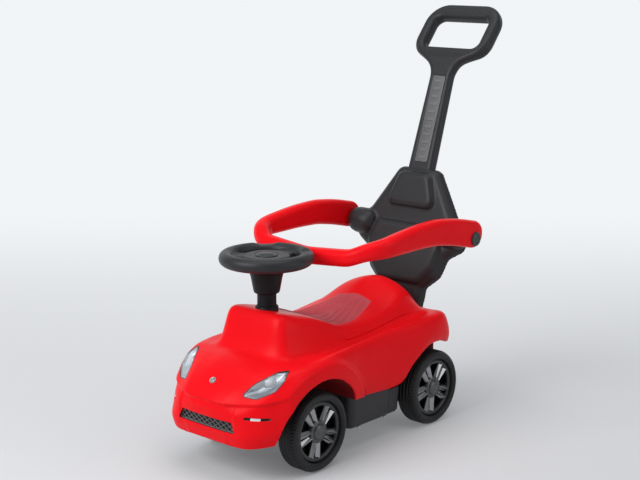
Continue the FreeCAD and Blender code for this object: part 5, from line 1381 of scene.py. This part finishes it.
nose_tray = tray(54, -58, 150, PAN_Z + 12, 20)
foot_tray = tray(PAN_HALF, 108, 252, 124, 22)
side_tray = tray(PAN_HALF - 2, 190, rear(-WHEEL_R - 8), 104, 16)
axle_tray = tray(88, 236, TAIL_Y - 28, PAN_TOP_Z, 18)
posts = [pan_post(x, 0, PAD_R, PAN_Z + PAN_FLOOR + PAD_RISE) for x in (-KINGPIN_X, 0, KINGPIN_X)]
posts += [pan_post(x, POST_Y, POST_R, BRIDGE_LOW) for x in (-POST_X, POST_X)]
blocks = [pan_block(side * BEARING_X, WHEELBASE, 8, 13, AXLE_Z + 13) for side in (-1, 1)]
blocks.append(pan_block(0, 0, KINGPIN_X, 16, PAN_Z + PAN_FLOOR))
pan = join(nose_tray, foot_tray, side_tray, axle_tray, *posts, *blocks)
pan_black = plastic("pan_black", (0.030, 0.029, 0.031), (0.022, 0.021, 0.023), 0.46, 700, 0.4, gloss=0.35)
add_piece(pan, "floor_pan_tray", [pan_black], "chassis", "black", "floor_pan")

# Pieces whose plain shape is right as it is: the column sleeve, the steering linkage and the zinc-plated
# axles, pins, clips and screws. Each keeps its own mesh and gets its finish here.
FINISHES = ((shaded_column_black, ("column_sleeve",)),
            (pan_black, ("steering_bridge", "steering_crank", "knuckle_left", "knuckle_right", "tie_rod")),
            (zinc, ("steering_shaft", "stub_axle_left", "stub_axle_right", "rear_axle", "stub_clip_left",
                    "stub_clip_right", "rear_axle_clips", "kingpins", "floor_screws", "bridge_screws",
                    "backrest_screws", "wheel_cross_bolt")))
for finish, nodes in FINISHES:
    for node in nodes:
        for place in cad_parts[node].material_slots:
            place.material = finish

# Studio: a pale floor that sweeps up into a backdrop, a large soft key from the front left, a broad
# softbox overhead and a weak fill, with the camera at the photograph's angle.
EYE = TO_FRAME @ Vector((1825, -1897.2, 1008))
AZIMUTH, PITCH = math.radians(41.61), math.radians(12.16)
FOCAL_PX, FRAME_PX, SENSOR = 1379.6, 640, 36
GLOW = (0.885, 0.905, 0.925, 1)
ahead = Vector((-math.sin(AZIMUTH), math.cos(AZIMUTH), 0))
aside = Vector((math.cos(AZIMUTH), math.sin(AZIMUTH), 0))
camera_data = bpy.data.cameras.new("camera")
camera_data.lens = FOCAL_PX / FRAME_PX * SENSOR
camera = bpy.data.objects.new("camera", camera_data)
camera.location = EYE
camera.rotation_mode = "QUATERNION"
camera.rotation_quaternion = (ahead * math.cos(PITCH) - Z_AXIS * math.sin(PITCH)).to_track_quat("-Z", "Y")
bpy.context.scene.collection.objects.link(camera)
bpy.context.scene.camera = camera

SWEEP_SIDE, SWEEP_FRONT, SWEEP_BACK, SWEEP_R, SWEEP_TOP = 9, 6, 4.5, 2.0, 6
sweep = [(SWEEP_BACK + SWEEP_R * math.sin(turn), SWEEP_R * (1 - math.cos(turn)))
         for turn in np.linspace(0, math.pi / 2, 13)]
profile = [(-SWEEP_FRONT, 0)] + sweep + [(SWEEP_BACK + SWEEP_R, SWEEP_TOP)]
floor = bmesh.new()
verts = [floor.verts.new(ahead * far + Z_AXIS * up - aside * SWEEP_SIDE) for far, up in profile]
line = [floor.edges.new(pair) for pair in zip(verts, verts[1:])]
far_side = fresh_verts(bmesh.ops.extrude_edge_only(floor, edges=line))
bmesh.ops.translate(floor, vec=aside * 2 * SWEEP_SIDE, verts=far_side)
bmesh.ops.recalc_face_normals(floor, faces=floor.faces)
paint(floor, 0)
floor_mesh = bpy.data.meshes.new("studio_floor")
floor.to_mesh(floor_mesh)
floor.free()
studio_floor = bpy.data.objects.new("studio_floor", floor_mesh)
bpy.context.scene.collection.objects.link(studio_floor)
paper = bpy.data.materials.new("studio_paper")
paper.use_nodes = True
tree = paper.node_tree
sheet = tree.nodes["Principled BSDF"]
for key, value in (("Base Color", (0.66, 0.672, 0.69, 1)), ("Roughness", 0.9), ("Specular IOR Level", 0.1)):
    sheet.inputs[key].default_value = value
glow = add_node(tree, "Emission", {"Color": GLOW})
place = add_node(tree, "TexCoord")
along = add_node(tree, "VectorMath", {1: ahead}, operation="DOT_PRODUCT")
away = add_node(tree, "VectorMath", operation="LENGTH")
fade = add_node(tree, "MapRange", {"From Min": -0.9, "From Max": 2.4}, interpolation_type="SMOOTHSTEP")
far_fade = add_node(tree, "MapRange", {"From Min": 1.5, "From Max": 4.0}, interpolation_type="SMOOTHSTEP")
paths = add_node(tree, "LightPath")
most, seen, through = [add_node(tree, "Math", operation="MAXIMUM") for k in range(3)]
share = add_node(tree, "Math", operation="MULTIPLY")
blend = add_node(tree, "MixShader")
wire(tree, (place, "Object", along, 0), (along, "Value", fade, "Value"), (fade, "Result", most, 0),
     (place, "Object", away, 0), (away, "Value", far_fade, "Value"), (far_fade, "Result", most, 1),
     (paths, "Is Camera Ray", seen, 0), (paths, "Is Glossy Ray", seen, 1), (seen, "Value", through, 0),
     (paths, "Is Transmission Ray", through, 1), (through, "Value", share, 0), (most, "Value", share, 1),
     (share, "Value", blend, "Fac"), (sheet, "BSDF", blend, 1), (glow, "Emission", blend, 2),
     (blend, "Shader", tree.nodes["Material Output"], "Surface"))
floor_mesh.materials.append(paper)

AIM = Vector((0, 0, 0.3))
LAMPS = (("key", aside * -2.1 - ahead * 1.6 + Z_AXIS * 1.9, 1.9, 68),
         ("top", Z_AXIS * 2.6 - ahead * 0.2, 2.2, 28),
         ("fill", aside * 2.4 - ahead * 1.2 + Z_AXIS * 1.2, 1.8, 15))
for name, place, size, power in LAMPS:
    lamp = bpy.data.lights.new(name, "AREA")
    lamp.energy = power
    lamp.size = size
    light = bpy.data.objects.new(name, lamp)
    light.location = place
    light.rotation_mode = "QUATERNION"
    light.rotation_quaternion = (AIM - light.location).to_track_quat("-Z", "Y")
    bpy.context.scene.collection.objects.link(light)
world = bpy.data.worlds.new("world")
world.use_nodes = True
tree = world.node_tree
ambient = tree.nodes["Background"]
ambient.inputs["Color"].default_value = (0.93, 0.95, 1.0, 1)
ambient.inputs["Strength"].default_value = 0.26
sky = add_node(tree, "Background", {"Color": GLOW})
paths = add_node(tree, "LightPath")
seen = add_node(tree, "Math", operation="MAXIMUM")
blend = add_node(tree, "MixShader")
wire(tree, (paths, "Is Camera Ray", seen, 0), (paths, "Is Transmission Ray", seen, 1),
     (seen, "Value", blend, "Fac"), (ambient, "Background", blend, 1), (sky, "Background", blend, 2),
     (blend, "Shader", tree.nodes["World Output"], "Surface"))
bpy.context.scene.world = world
bpy.context.scene.view_settings.view_transform = "Standard"
